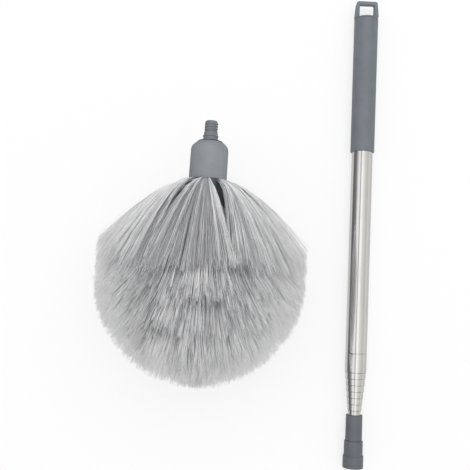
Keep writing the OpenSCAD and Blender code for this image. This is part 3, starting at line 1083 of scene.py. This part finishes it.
@dataclass
class Neck(OnHead):
    """The neck and the threaded stub that stands in it, with a near-black ring between them."""

    # The neck, from the core up.
    neck_top: float = OnHead.core_top + 28.2 * MM
    low_r: float = OnHead.core_r + 0.45 * MM
    top_r: float = low_r - 0.25 * MM
    seam: float = 0.02 * MM
    mouth_edge: float = 0.5 * MM
    mouth_steps: int = 5
    mouth_w: float = 3 * MM
    blend_r: float = 7.5 * MM
    blend_turn: float = 47.0
    blend_steps: int = 14
    neck_facets: int = 192
    # The neck's rim and the near-black ring under the stub's flange.
    rim_h: float = neck_top + 8 * MM
    rim_r: float = 12.3 * MM
    rim_w: float = 0.4 * MM
    rim_edge: float = 0.1 * MM
    rim_bevel: float = 0.15 * MM
    rim_deep: float = 1 * MM
    dark_ring_in: float = 0.45 * MM
    dark_ring_deep: float = 0.9 * MM
    dark_ring_proud: float = 0.75 * MM
    dark_ring_w: float = 1 * MM
    dark_ring_round: float = 0.3 * MM
    # The stub, from its flange up.
    shoulder_top: float = rim_h + 2.255 * MM
    flange_h: float = 1 * MM
    flange_w: float = 1.1 * MM
    flange_round: float = 0.35 * MM
    collar_top: float = shoulder_top + 4 * MM
    collar_r: float = ScrewFit.collar_r
    collar_sunk: float = 3 * MM
    low_band: float = 0.5 * MM
    low_slope: float = 0.3 * MM
    high_band: float = 0.9 * MM
    high_slope: float = 0.2 * MM
    ledge: float = 0.55 * MM
    shank_top: float = collar_top + 3.4 * MM
    shank_r: float = ScrewFit.shank_r
    relief_top: float = shank_top + 0.9 * MM
    relief_r: float = 5.35 * MM
    stub_round: float = 0.3 * MM
    stub_facets: int = 128
    thread_lap: float = 0.6 * MM
    thread_top: float = relief_top + 9.9 * MM
    thread_r: float = ScrewFit.crest_r
    thread_root: float = ScrewFit.root_r
    tip_edge: float = 0.5 * MM
    tip_round: float = 0.2 * MM
    dimple_r: float = 3.4 * MM
    dimple: float = 0.4 * MM
    neck_plastic: MouldedPlastic = MouldedPlastic("neck_plastic", (0.245, 0.264, 0.284), 0.28)
    stub_plastic: MouldedPlastic = MouldedPlastic("stub_plastic", (0.190, 0.202, 0.216), 0.36)
    # Near-black, to draw the thin dark line round the neck's rim.
    dark_ring_finish: MouldedPlastic = MouldedPlastic("dark_ring_finish", (0.022, 0.024, 0.026), 0.6)

    def stub(self) -> bpy.types.Object:
        """The stub's flange, its collar with two bands, its shank, its thread and its tip.

        Returns:
            The piece, upright.
        """
        foot, top, waist = self.shoulder_top, self.thread_top, self.collar_r - self.ledge
        thread_low, thread_high = self.relief_top - self.thread_lap, top - self.tip_edge
        thread = Screw(thread_low, thread_high, self.thread_root, self.thread_r).skin("thread")
        low = [
            (foot - self.collar_sunk, self.collar_r), (foot + self.low_band, self.collar_r),
            (foot + self.low_band + self.low_slope, waist),
            (self.collar_top - self.high_band - self.high_slope, waist),
            (self.collar_top - self.high_band, self.collar_r), (self.collar_top, self.collar_r),
            (self.collar_top, self.shank_r), (self.shank_top, self.shank_r),
            (self.shank_top, self.relief_r), (thread_low, self.thread_root),
        ]
        tip = [(thread_high, self.thread_root), (top, self.thread_root - self.tip_edge), (top, self.dimple_r),
               (top - self.dimple, self.dimple_r - self.dimple), (top - self.dimple, 0)]
        low_part = turned("low", rounded(low, self.stub_round), self.stub_facets)
        tip_part = turned("end", rounded(tip, self.tip_round), Screw.segments)
        return joined("threaded_stub_moulding", [self.flange(), low_part, tip_part, thread])

    def flange(self) -> bpy.types.Object:
        """The stub's thin flange on top of the near-black ring.

        Returns:
            The piece, upright.
        """
        low, top = self.shoulder_top - self.flange_h, self.shoulder_top
        inner, r = self.collar_r - self.dark_ring_w, self.collar_r + self.flange_w
        outline = [(low, inner), (low, r), (top, r), (top, inner)]
        return turned("flange", rounded(outline, self.flange_round), self.stub_facets, closed=True)

    def neck(self) -> bpy.types.Object:
        """The neck: a slightly tapered cup with a rounded shoulder and a rim round the stub.

        Returns:
            The piece, upright.
        """
        foot, e = self.core_top + self.seam, self.mouth_edge
        rise, taper = self.neck_top - self.core_top, self.top_r - self.low_r
        outline = [(foot, self.core_r - self.mouth_w)]
        outline += arc((foot + e, self.low_r - e), e, 180, 90, self.mouth_steps)
        outline += [(self.core_top + rise * t, self.low_r + taper * t) for t in (0.2, 0.4, 0.6, 0.8)]
        shoulder = (self.neck_top, self.top_r - self.blend_r)
        outline += arc(shoulder, self.blend_r, 90, 90 - self.blend_turn, self.blend_steps)
        h, r, inner = self.rim_h, self.rim_r, self.rim_r - self.rim_w
        outline += [(h - self.rim_bevel, r + self.rim_bevel), (h, r - self.rim_edge),
                    (h - self.rim_edge, inner), (h - self.rim_deep, inner),
                    (h - self.rim_deep, self.collar_r)]
        return turned("neck_shell_moulding", outline, self.neck_facets)

    def dark_ring(self) -> bpy.types.Object:
        """A near-black ring that shows as the thin dark line between the neck's rim and the stub's flange.

        Returns:
            The piece, upright.
        """
        low, high = self.rim_h - self.dark_ring_deep, self.shoulder_top - self.dark_ring_deep
        inner, r = self.collar_r, self.rim_r - self.dark_ring_in
        outline = [(low, inner), (low, r), (self.rim_h + self.dark_ring_proud, r),
                   (high, inner + self.dark_ring_w), (high, inner)]
        return turned("neck_dark_ring", rounded(outline, self.dark_ring_round), closed=True)

    def build(self) -> None:
        """Builds and dresses the stub, the neck and the near-black ring."""
        stub = moved(self.stub(), self.laid())
        neck = moved(self.neck(), self.laid())
        dark_ring = moved(self.dark_ring(), self.laid())
        dress(stub, self.stub_plastic.material(), "head", ["threaded_stub"])
        dress(neck, self.neck_plastic.material(), "head", ["neck_shell"])
        dress(dark_ring, self.dark_ring_finish.material(), "head")


@dataclass(frozen=True)
class TuftRow:
    """One ring of tufts and its slice of the core.

    Attributes:
        number: Its number, from the neck down.
        root: Height at which its strands leave the core.
        low: Lower end of its slice, where the next slice begins.
        start: Turn of its first tuft round the axis.
        polar_in: Angle of its lowest tips from the head's far end, at the ball's centre.
        polar_out: Angle of its highest tips.
        tufts: Number of tufts.
        arch: How far its strands bow in depth; 0 in a ring that falls over like a fountain.
        droop: How far its upward and downward tufts sink towards the far end.
        wander: How far its clumps stray.
        fray: How far the strands of a clump part.
        stagger: How far its bundles rise and fall.
        contrast: How far its strands differ in tone.
        shortest: How far the strands of a bundle differ in length.
    """

    number: int
    root: float
    low: float
    start: float
    polar_in: float
    polar_out: float
    tufts: int = 8
    arch: float = 0.0
    droop: float = 0.0
    wander: float = 0.6
    fray: float = 0.8
    stagger: float = 2.0
    contrast: float = 0.8
    shortest: float = 3.0 * MM

    @property
    def fountain(self) -> bool:
        """Whether its strands leave the core outwards and then fall over."""
        return self.arch == 0


@dataclass
class Tuft:
    """What the strands of one tuft share.

    Attributes:
        middle: Its turn round the axis.
        spread: Half of its width.
        side: 1 where it points sideways, 0 where it points up or down.
        polar: Middle angle of its tips from the head's far end.
        half_polar: Half of the angle that its tips cover.
        lift: How far its tips rise.
        uneven: How much shorter each bundle is.
        stagger: How far each bundle rises.
    """

    middle: float
    spread: float
    side: float
    polar: float
    half_polar: float
    lift: float
    uneven: np.ndarray
    stagger: np.ndarray


@dataclass
class Clump:
    """What the strands of one clump share.

    Attributes:
        up: Its place in the stack, from about -1 to 1.
        across: Its place across the tuft, from about -1 to 1.
        ragged: How much shorter its strands are.
        pale: Share by which its darker strands are paler: painted light on tufts that point sideways.
        tone: How dark it is, from 0 upwards: random, plus painted shade on deeper layers, less the painted
            light on sideways tufts.
        wander: How far its tips stray round the axis and along it.
        rise: How far its tips rise.
        bow: How far its strands' knees stray.
    """

    up: float
    across: float
    ragged: float
    pale: float
    tone: float
    wander: np.ndarray
    rise: float
    bow: np.ndarray


@dataclass
class Bristles(OnHead):
    """The sliced core and its seven rings of tufts.

    Each tuft is a stack of layers, each layer a fan of narrow clumps, and each clump a few
    strands that part towards their tips. A bundle is a few neighbouring columns of clumps.
    """

    ball_r: float = 99.5 * MM
    slice_edge: float = 0.25 * MM
    slice_points: int = 14
    facets: int = 128
    # How a tuft is filled.
    layers: int = 4
    columns: int = 22
    bundle_columns: int = 6
    clump_strands: int = 7
    overlap: float = 2.0
    layer_stray: float = 0.2
    column_stray: float = 0.25
    # One strand; no strand runs along off_axis.
    strand_r: float = 0.25 * MM
    strand_steps: int = 6
    strand_sides: int = 3
    off_axis: Triple = (0.31, 0.17, 0.93)
    root_thick: float = 1.15
    tip_thick: float = 0.6
    # Where the strands leave the core.
    tuft_half_w: float = 2.7 * MM
    tuft_half_h: float = 1.6 * MM
    root_deep: float = 1 * MM
    root_pack: float = 0.8
    root_stray: float = 0.1
    root_fray: float = 0.8
    # How they bend: outwards first in a fountain ring, and crimped in all.
    lean: float = 7.0
    knee: float = 0.30
    fan: float = 0.6
    crimp: float = 1.3 * MM
    strand_crimp: float = 0.25 * MM
    # Sideways tufts rise, fan out and hold together; early is the share of other clumps that rise.
    side_power: int = 4
    side_lift: float = 5.5
    side_fan: float = 4.0
    side_calm: float = 0.6
    early: float = 0.06
    # Where the tips end: inside the ball, or past its middle inside a cylinder round it.
    rim_sine: float = 0.9
    thinning: float = 1.8 * MM
    thin_share: float = 0.25
    unevenness: float = 0.45
    # How dark the strands are: random tones, with painted light that makes sideways tufts paler and painted
    # shade that darkens deeper layers.
    side_painted_light: float = 0.9
    tone_power: float = 2.2
    layer_painted_shade: float = 0.10
    odd_tone: float = 0.75
    odd_power: int = 4
    seed: int = 7
    core_plastic: MouldedPlastic = MouldedPlastic("core_plastic", (0.105, 0.110, 0.118), 0.5)
    strand_plastic: StrandPlastic = StrandPlastic()
    bolt_steel: ZincedSteel = ZincedSteel()

    def rows(self) -> list[TuftRow]:
        """Lays out the rings.

        Returns:
            The seven rings, from the neck down.
        """
        return [
            TuftRow(1, root=93.4 * MM, low=77.0 * MM, start=40.0, polar_in=93, polar_out=97,
                    wander=0.8, fray=1.2, stagger=2.8, contrast=1.15),
            TuftRow(2, root=69.0 * MM, low=61.0 * MM, start=17.5, polar_in=82.5, polar_out=87,
                    arch=0.88, contrast=0.85),
            TuftRow(3, root=54.5 * MM, low=47.5 * MM, start=40.0, polar_in=75, polar_out=80.5,
                    arch=0.92, wander=0.7),
            TuftRow(4, root=41.0 * MM, low=34.0 * MM, start=17.5, polar_in=65, polar_out=72,
                    arch=0.96, droop=4, wander=1.2, fray=1.0, contrast=0.75, shortest=4.0 * MM),
            TuftRow(5, root=26.5 * MM, low=self.core_r, start=40.0, polar_in=46, polar_out=66,
                    arch=1.12, droop=17, wander=3.0, fray=1.6, stagger=0, contrast=0.55,
                    shortest=5.0 * MM),
            TuftRow(6, root=14.2 * MM, low=9.75 * MM, start=20.0, polar_in=28, polar_out=52,
                    arch=1.05, droop=13, wander=4.0, fray=2.0, stagger=0, contrast=0.40,
                    shortest=5.0 * MM),
            TuftRow(7, root=5.35 * MM, low=0.0, start=0.0, polar_in=5, polar_out=34, tufts=5,
                    arch=0.85, droop=4, wander=4.0, fray=2.5, stagger=0, contrast=0.35,
                    shortest=6.0 * MM),
        ]

    def core_at(self, height: float) -> float:
        """Radius of the core, a cylinder with a round lower end.

        Args:
            height: Height above the lower end.

        Returns:
            The radius there.
        """
        if height >= self.core_r:
            return self.core_r
        return math.sqrt(max(0.0, self.core_r ** 2 - (self.core_r - height) ** 2))

    def core_slice(self, row: TuftRow, high: float) -> bpy.types.Object:
        """One slice of the core, with a fine shadow line where it meets the next.

        Args:
            row: The ring that it carries.
            high: Its upper end.

        Returns:
            The piece, upright.
        """
        low, e = row.low, self.slice_edge
        if low >= self.core_r:
            outline = [(low, 0), (low, self.core_r - e), (low + e, self.core_r),
                       (high - e, self.core_r), (high, self.core_r - e), (high, 0)]
        else:
            curve = [(h, self.core_at(h)) for h in np.linspace(low, high, self.slice_points)]
            outline = [(low, 0)] + (curve if low > 0 else curve[1:]) + [(high, 0)]
        return turned(f"core_slice_{row.number}", outline, self.facets)

    def tuft_strands(self, row: TuftRow, rng: np.random.Generator) -> tuple[np.ndarray, np.ndarray]:
        """Centre lines of every strand in a ring.

        Args:
            row: The ring.
            rng: Source of the random draws.

        Returns:
            The lines' points, one row of points a strand, and each strand's tone from 0, pale, upwards.
        """
        lines, tones = [], []
        for k in range(row.tufts):
            tuft = self.tuft(row, row.start + 360 * k / row.tufts, rng)
            for place in range(self.layers * self.columns):
                clump = self.clump(row, tuft, place, rng)
                for _ in range(self.clump_strands):
                    lines.append(self.strand(row, tuft, clump, rng))
                    odd = self.odd_tone * row.contrast * rng.uniform(0, 1) ** self.odd_power
                    tones.append(clump.tone + odd * (1 - clump.pale))
        return np.array(lines), np.array(tones)

    def tuft(self, row: TuftRow, middle: float, rng: np.random.Generator) -> Tuft:
        """Draws one tuft.

        Args:
            row: Its ring.
            middle: Its turn round the axis.
            rng: Source of the random draws.

        Returns:
            The tuft.
        """
        turn, bundles = math.radians(middle), self.columns // self.bundle_columns + 1
        side = math.cos(turn) ** self.side_power
        return Tuft(
            middle=middle,
            spread=180 / row.tufts + self.overlap,
            side=side,
            polar=(row.polar_in + row.polar_out) / 2 - row.droop * math.sin(turn) ** 2,
            half_polar=(row.polar_out - row.polar_in) / 2 + self.side_fan * side,
            lift=self.side_lift * side if row.fountain else 0.0,
            uneven=rng.exponential(row.shortest * self.unevenness, bundles),
            stagger=rng.normal(0, row.stagger, bundles) * (1 - self.side_calm * side),
        )

    def clump(self, row: TuftRow, tuft: Tuft, place: int, rng: np.random.Generator) -> Clump:
        """Draws one clump. A few clumps of a fountain ring stand higher than the rest.

        Args:
            row: Its ring.
            tuft: Its tuft.
            place: Its number in the tuft, layer by layer.
            rng: Source of the random draws.

        Returns:
            The clump.
        """
        layer, column = divmod(place, self.columns)
        up = 1 - 2 * layer / (self.layers - 1) + rng.normal(0, self.layer_stray)
        across = 2 * (column + 0.5 + rng.normal(0, self.column_stray)) / self.columns - 1
        ragged = rng.uniform(0, 1) ** 2 * row.shortest + tuft.uneven[(column + 2 * layer) % len(tuft.uneven)]
        # Painted light: clumps of tufts that point sideways are made paler.
        pale = self.side_painted_light * math.cos(math.radians(tuft.middle + across * tuft.spread)) ** 2
        # Painted shade: each deeper layer of the stack is darker.
        dark = min(1.0, rng.uniform(0, 1) ** self.tone_power + self.layer_painted_shade * layer)
        wander = rng.normal(0, row.wander, 2)
        rise = tuft.lift + tuft.stagger[column // self.bundle_columns]
        if row.fountain and rng.uniform(0, 1) < self.early:
            rise += rng.uniform(0, self.side_lift) * (1 - tuft.side)
        bow = rng.normal(0, self.crimp, 3)
        return Clump(up, across, ragged, pale, row.contrast * dark * (1 - pale), wander, rise, bow)

    def strand(self, row: TuftRow, tuft: Tuft, clump: Clump, rng: np.random.Generator) -> np.ndarray:
        """Draws one strand as a curve from its root past a knee to its tip.

        Args:
            row: Its ring.
            tuft: Its tuft.
            clump: Its clump.
            rng: Source of the random draws.

        Returns:
            The points of its centre line.
        """
        packed = np.clip(clump.up * self.root_pack + rng.normal(0, self.root_stray), -1, 1)
        root_h = row.root + self.tuft_half_h * packed
        r = self.core_at(root_h) - self.root_deep
        half = math.degrees(self.tuft_half_w / max(r, self.tuft_half_w))
        root_a = math.radians(tuft.middle + clump.across * half + rng.normal(0, self.root_fray))
        tip_a = tuft.middle + clump.across * tuft.spread + clump.wander[0] + rng.normal(0, row.fray)
        tip_a = math.radians(tip_a)
        polar = tuft.polar + clump.up * tuft.half_polar + clump.rise + clump.wander[1]
        polar = math.radians(polar + rng.normal(0, row.fray))
        ring, down = math.sin(polar), -math.cos(polar)
        reach = self.ball_r / max(ring, self.rim_sine) if polar > math.pi / 2 else self.ball_r
        reach -= self.strand_r + clump.ragged
        reach -= rng.exponential(self.thinning + self.thin_share * row.shortest)
        root = np.array([r * math.cos(root_a), r * math.sin(root_a), root_h])
        tip = reach * np.array([ring * math.cos(tip_a), ring * math.sin(tip_a), down])
        if row.fountain:
            knee = root + np.linalg.norm(tip - root) * self.knee * self.outward(root_a, tip_a)
        else:
            knee = root + (tip - root) * np.array([0.5, row.arch, 0.5])
        knee += clump.bow + rng.normal(0, self.strand_crimp, 3)
        t = np.linspace(0, 1, self.strand_steps + 1)[:, None]
        return (1 - t) ** 2 * root + 2 * t * (1 - t) * knee + t ** 2 * tip

    def outward(self, root_a: float, tip_a: float) -> np.ndarray:
        """Direction in which a fountain ring's strand leaves the core, between its root and its tip."""
        a, lean = root_a + self.fan * (tip_a - root_a), math.radians(self.lean)
        return np.array([math.cos(a) * math.cos(lean), math.sin(a) * math.cos(lean), -math.sin(lean)])

    def strand_mesh(self, name: str, lines: np.ndarray, tones: np.ndarray) -> bpy.types.Object:
        """Makes every strand of a ring as a thin rod with flat sides and closed ends.

        Args:
            name: Name of the piece.
            lines: Points of each strand's centre line.
            tones: Each strand's tone.

        Returns:
            The piece, with the "along" and "tone" attributes on its corners.
        """
        (count, steps), sides = lines.shape[:2], self.strand_sides
        run = np.gradient(lines, axis=1)
        run /= np.linalg.norm(run, axis=2, keepdims=True)
        side = np.cross(run, np.array(self.off_axis))
        side /= np.linalg.norm(side, axis=2, keepdims=True)
        up = np.cross(run, side)
        thick = self.strand_r * np.linspace(self.root_thick, self.tip_thick, steps)[None, :, None]
        turns = [2 * math.pi * k / sides for k in range(sides)]
        rings = [lines + thick * (math.cos(a) * side + math.sin(a) * up) for a in turns]
        points = np.stack(rings, axis=2).reshape(-1, 3)
        corner = np.arange(sides)
        start = np.arange(count)[:, None] * steps * sides
        ring = start[:, :, None] + np.arange(steps - 1)[None, :, None] * sides
        a, b = ring + corner, ring + (corner + 1) % sides
        walls = np.stack([a, b, b + sides, a + sides], axis=3).reshape(-1, 4).tolist()
        root_ends = (start + corner[::-1]).tolist()
        tip_ends = (start + (steps - 1) * sides + corner).tolist()
        mesh = bpy.data.meshes.new(name)
        mesh.from_pydata(points.tolist(), [], walls + root_ends + tip_ends)
        mesh.update()
        smooth_all(mesh)
        along = np.repeat(np.tile(np.linspace(0, 1, steps), count), sides)
        for label, values in (("along", along), ("tone", np.repeat(tones, steps * sides))):
            mesh.attributes.new(label, "FLOAT", "POINT").data.foreach_set("value", values.astype(np.float32))
        return added(name, mesh)

    @staticmethod
    def above_floor(piece: bpy.types.Object) -> None:
        """Presses the few strands that would reach through the floor flat onto it.

        Args:
            piece: The strands, in their place.
        """
        flat = np.zeros(len(piece.data.vertices) * 3)
        piece.data.vertices.foreach_get("co", flat)
        flat[Z::3] = np.maximum(flat[Z::3], 0.0)
        piece.data.vertices.foreach_set("co", flat)
        piece.data.update()

    def build(self) -> None:
        """Builds and dresses the core and the tufts, and paints the spine and the bolt."""
        core, strands = self.core_plastic.material(), self.strand_plastic.material()
        repaint("core_spine", core)
        repaint("core_bolt", self.bolt_steel.material())
        rng = np.random.default_rng(self.seed)
        high = self.core_top
        for row in self.rows():
            lines, tones = self.tuft_strands(row, rng)
            tufts = moved(self.strand_mesh(f"tuft_row_{row.number}", lines, tones), self.laid())
            self.above_floor(tufts)
            dress(tufts, strands, "head", [f"bristle_row_{row.number}"])
            dress(moved(self.core_slice(row, high), self.laid()), core, "head")
            high = row.low


# Studio

@dataclass(frozen=True)
class Band:
    """A stop in the ring of light and dark that the steel mirrors; 0 is straight up, + is right."""

    angle: float
    level: float
    blue: float = 1.0

    def stop(self, green: float = 1.0) -> tuple[float, Colour]:
        """The band's place on a colour ramp, and its colour there."""
        return 0.5 + self.angle / 360, (self.level, self.level * green, self.level * self.blue)


@dataclass
class Studio:
    """Camera, pale floor, soft light and the bands that the steel mirrors."""

    eye: Triple = (-7.45 * MM, -77.45 * MM, 749.6 * MM)
    tilt: float = 5.0
    roll: float = 2.64
    focal_px: float = 700.0
    frame_px: float = 470.0
    sensor: float = 36.0
    near: float = 0.01
    far: float = 20.0
    floor_size: float = 14.0
    floor_grey: float = 0.9
    floor_glow: float = 0.72
    flag_edge: float = 55 * MM
    flag_fade: float = 27 * MM
    flag_level: float = 0.14
    ground_level: float = 0.58
    sky: float = 0.80
    steel_green: float = 0.995
    # A dark wall on the left, a bright strip, a thin dark line, the soft box and a pale wall.
    wall_bands: tuple[Band, ...] = (
        Band(-100, 0.14, 1.02), Band(-84, 0.14, 1.06), Band(-72, 0.21, 1.10), Band(-60, 0.33, 1.06),
        Band(-51, 0.63, 1.02), Band(-40, 0.88, 1.00), Band(-22, 0.82, 0.99), Band(-19, 0.34, 0.97),
        Band(-14, 0.30, 0.97), Band(-10, 1.00, 0.99), Band(8, 1.00, 1.00), Band(17, 0.76, 0.96),
        Band(42, 0.62, 0.94), Band(64, 0.52, 0.94), Band(78, 0.66, 0.96), Band(100, 0.68, 0.98),
    )
    # What the rolled mouths see along the pole: bright above, dark beside it.
    end_bands: tuple[Band, ...] = (
        Band(-100, 0.12), Band(-40, 0.30), Band(-28, 0.62), Band(-20, 0.14), Band(-12, 0.10),
        Band(-5, 0.92), Band(22, 0.92), Band(34, 0.30), Band(48, 0.08), Band(64, 0.10),
        Band(78, 0.34), Band(100, 0.30),
    )
    ends_range: Range = (0.16, 0.34)
    lamp_place: Triple = (0.1, 0.4, 1.8)
    lamp_size: float = 1.6
    lamp_power: float = 14.0

    def camera(self) -> None:
        """Makes the camera at the photograph's place, tilt and roll."""
        data = bpy.data.cameras.new("camera")
        data.sensor_width = self.sensor
        data.lens = self.focal_px / self.frame_px * self.sensor
        data.clip_start = self.near
        data.clip_end = self.far
        camera = added("camera", data)
        camera.matrix_world = (Matrix.Translation(self.eye) @ Matrix.Rotation(math.radians(self.tilt), 4, "X")
                               @ Matrix.Rotation(math.radians(self.roll), 4, "Z"))
        bpy.context.scene.camera = camera

    def floor(self) -> None:
        """Makes the floor, which shows as white and keeps the object's shadow."""
        half = self.floor_size / 2
        points = np.array([(-half, -half, 0), (half, -half, 0), (half, half, 0), (-half, half, 0)])
        piece = new_piece("studio_floor", points, [(0, 1, 2, 3)])
        made = bpy.data.materials.new("studio_floor")
        recipe = Recipe(made)
        ray = recipe.node("ShaderNodeLightPath", {}, {})
        matt = recipe.node("ShaderNodeBsdfDiffuse", {}, {"Color": (self.floor_grey,) * 3 + (1,)})
        spot = recipe.node("ShaderNodeNewGeometry", {}, {})["Position"]
        across = recipe.node("ShaderNodeSeparateXYZ", {}, {0: spot})["X"]
        flag_end = self.flag_edge + self.flag_fade
        level = across.spread(self.flag_edge, flag_end, self.flag_level, self.ground_level)
        mirrored = recipe.node("ShaderNodeCombineColor", {}, {0: level, 1: level, 2: level})[0]
        tint = recipe.mixed(ray["Is Glossy Ray"] * (1 - ray["Is Camera Ray"]), WHITE, mirrored)
        glow = recipe.node("ShaderNodeEmission", {}, {"Color": tint, "Strength": 1.0})
        share = ray["Is Camera Ray"] * self.floor_glow + ray["Is Glossy Ray"] + ray["Is Transmission Ray"]
        shown = recipe.node("ShaderNodeMixShader", {}, {0: share.clipped(), 1: matt, 2: glow})
        recipe.node("ShaderNodeOutputMaterial", {}, {"Surface": shown})
        piece.data.materials.append(made)

    def world(self) -> None:
        """Lights the scene from all round, and gives mirrors the bands round the pole and at its ends."""
        world = bpy.data.worlds.new("studio")
        bpy.context.scene.world = world
        recipe = Recipe(world)
        toward = recipe.node("ShaderNodeTexCoord", {}, {})["Generated"]
        parts = recipe.node("ShaderNodeSeparateXYZ", {}, {0: toward})
        turn = parts["X"].angle_to(parts["Z"]) / (2 * math.pi) + 0.5
        wall_stops = [band.stop(self.steel_green) for band in self.wall_bands]
        walls = recipe.node("ShaderNodeValToRGB", {"stops": wall_stops}, {0: turn})[0]
        along = (parts["Y"] * parts["Y"]).spread(*self.ends_range)
        end_stops = [band.stop() for band in self.end_bands]
        ends = recipe.node("ShaderNodeValToRGB", {"stops": end_stops}, {0: turn})[0]
        bands = recipe.mixed(along, walls, ends)
        ray = recipe.node("ShaderNodeLightPath", {}, {})
        plain = recipe.mixed(ray["Is Glossy Ray"], (self.sky,) * 3, bands)
        seen = recipe.mixed(ray["Is Camera Ray"], plain, WHITE)
        glow = recipe.node("ShaderNodeBackground", {}, {"Color": seen, "Strength": 1.0})
        recipe.node("ShaderNodeOutputWorld", {}, {"Surface": glow})

    def lamp(self) -> None:
        """Hangs one broad soft lamp over the scene, a little to the right and beyond the hang loop."""
        data = bpy.data.lights.new("soft_box", "AREA")
        data.shape = "SQUARE"
        data.size = self.lamp_size
        data.energy = self.lamp_power
        lamp = added("soft_box", data)
        lamp.location = self.lamp_place
        lamp.rotation_euler = (-Vector(self.lamp_place)).to_track_quat("-Z", "Y").to_euler()
        lamp.visible_glossy = False
        lamp.visible_camera = False

    def build(self) -> None:
        """Sets the scene."""
        bpy.context.scene.view_settings.view_transform = "Standard"
        self.camera()
        self.floor()
        self.world()
        self.lamp()


def main() -> None:
    """Builds the object and the studio."""
    logging.basicConfig(level=logging.INFO, format="%(message)s")
    for part in (Studio(), Pole(), Handle(), ScrewSocket(), Neck(), Bristles()):
        log.info("building %s", type(part).__name__)
        part.build()


if __name__ == "__main__":
    main()
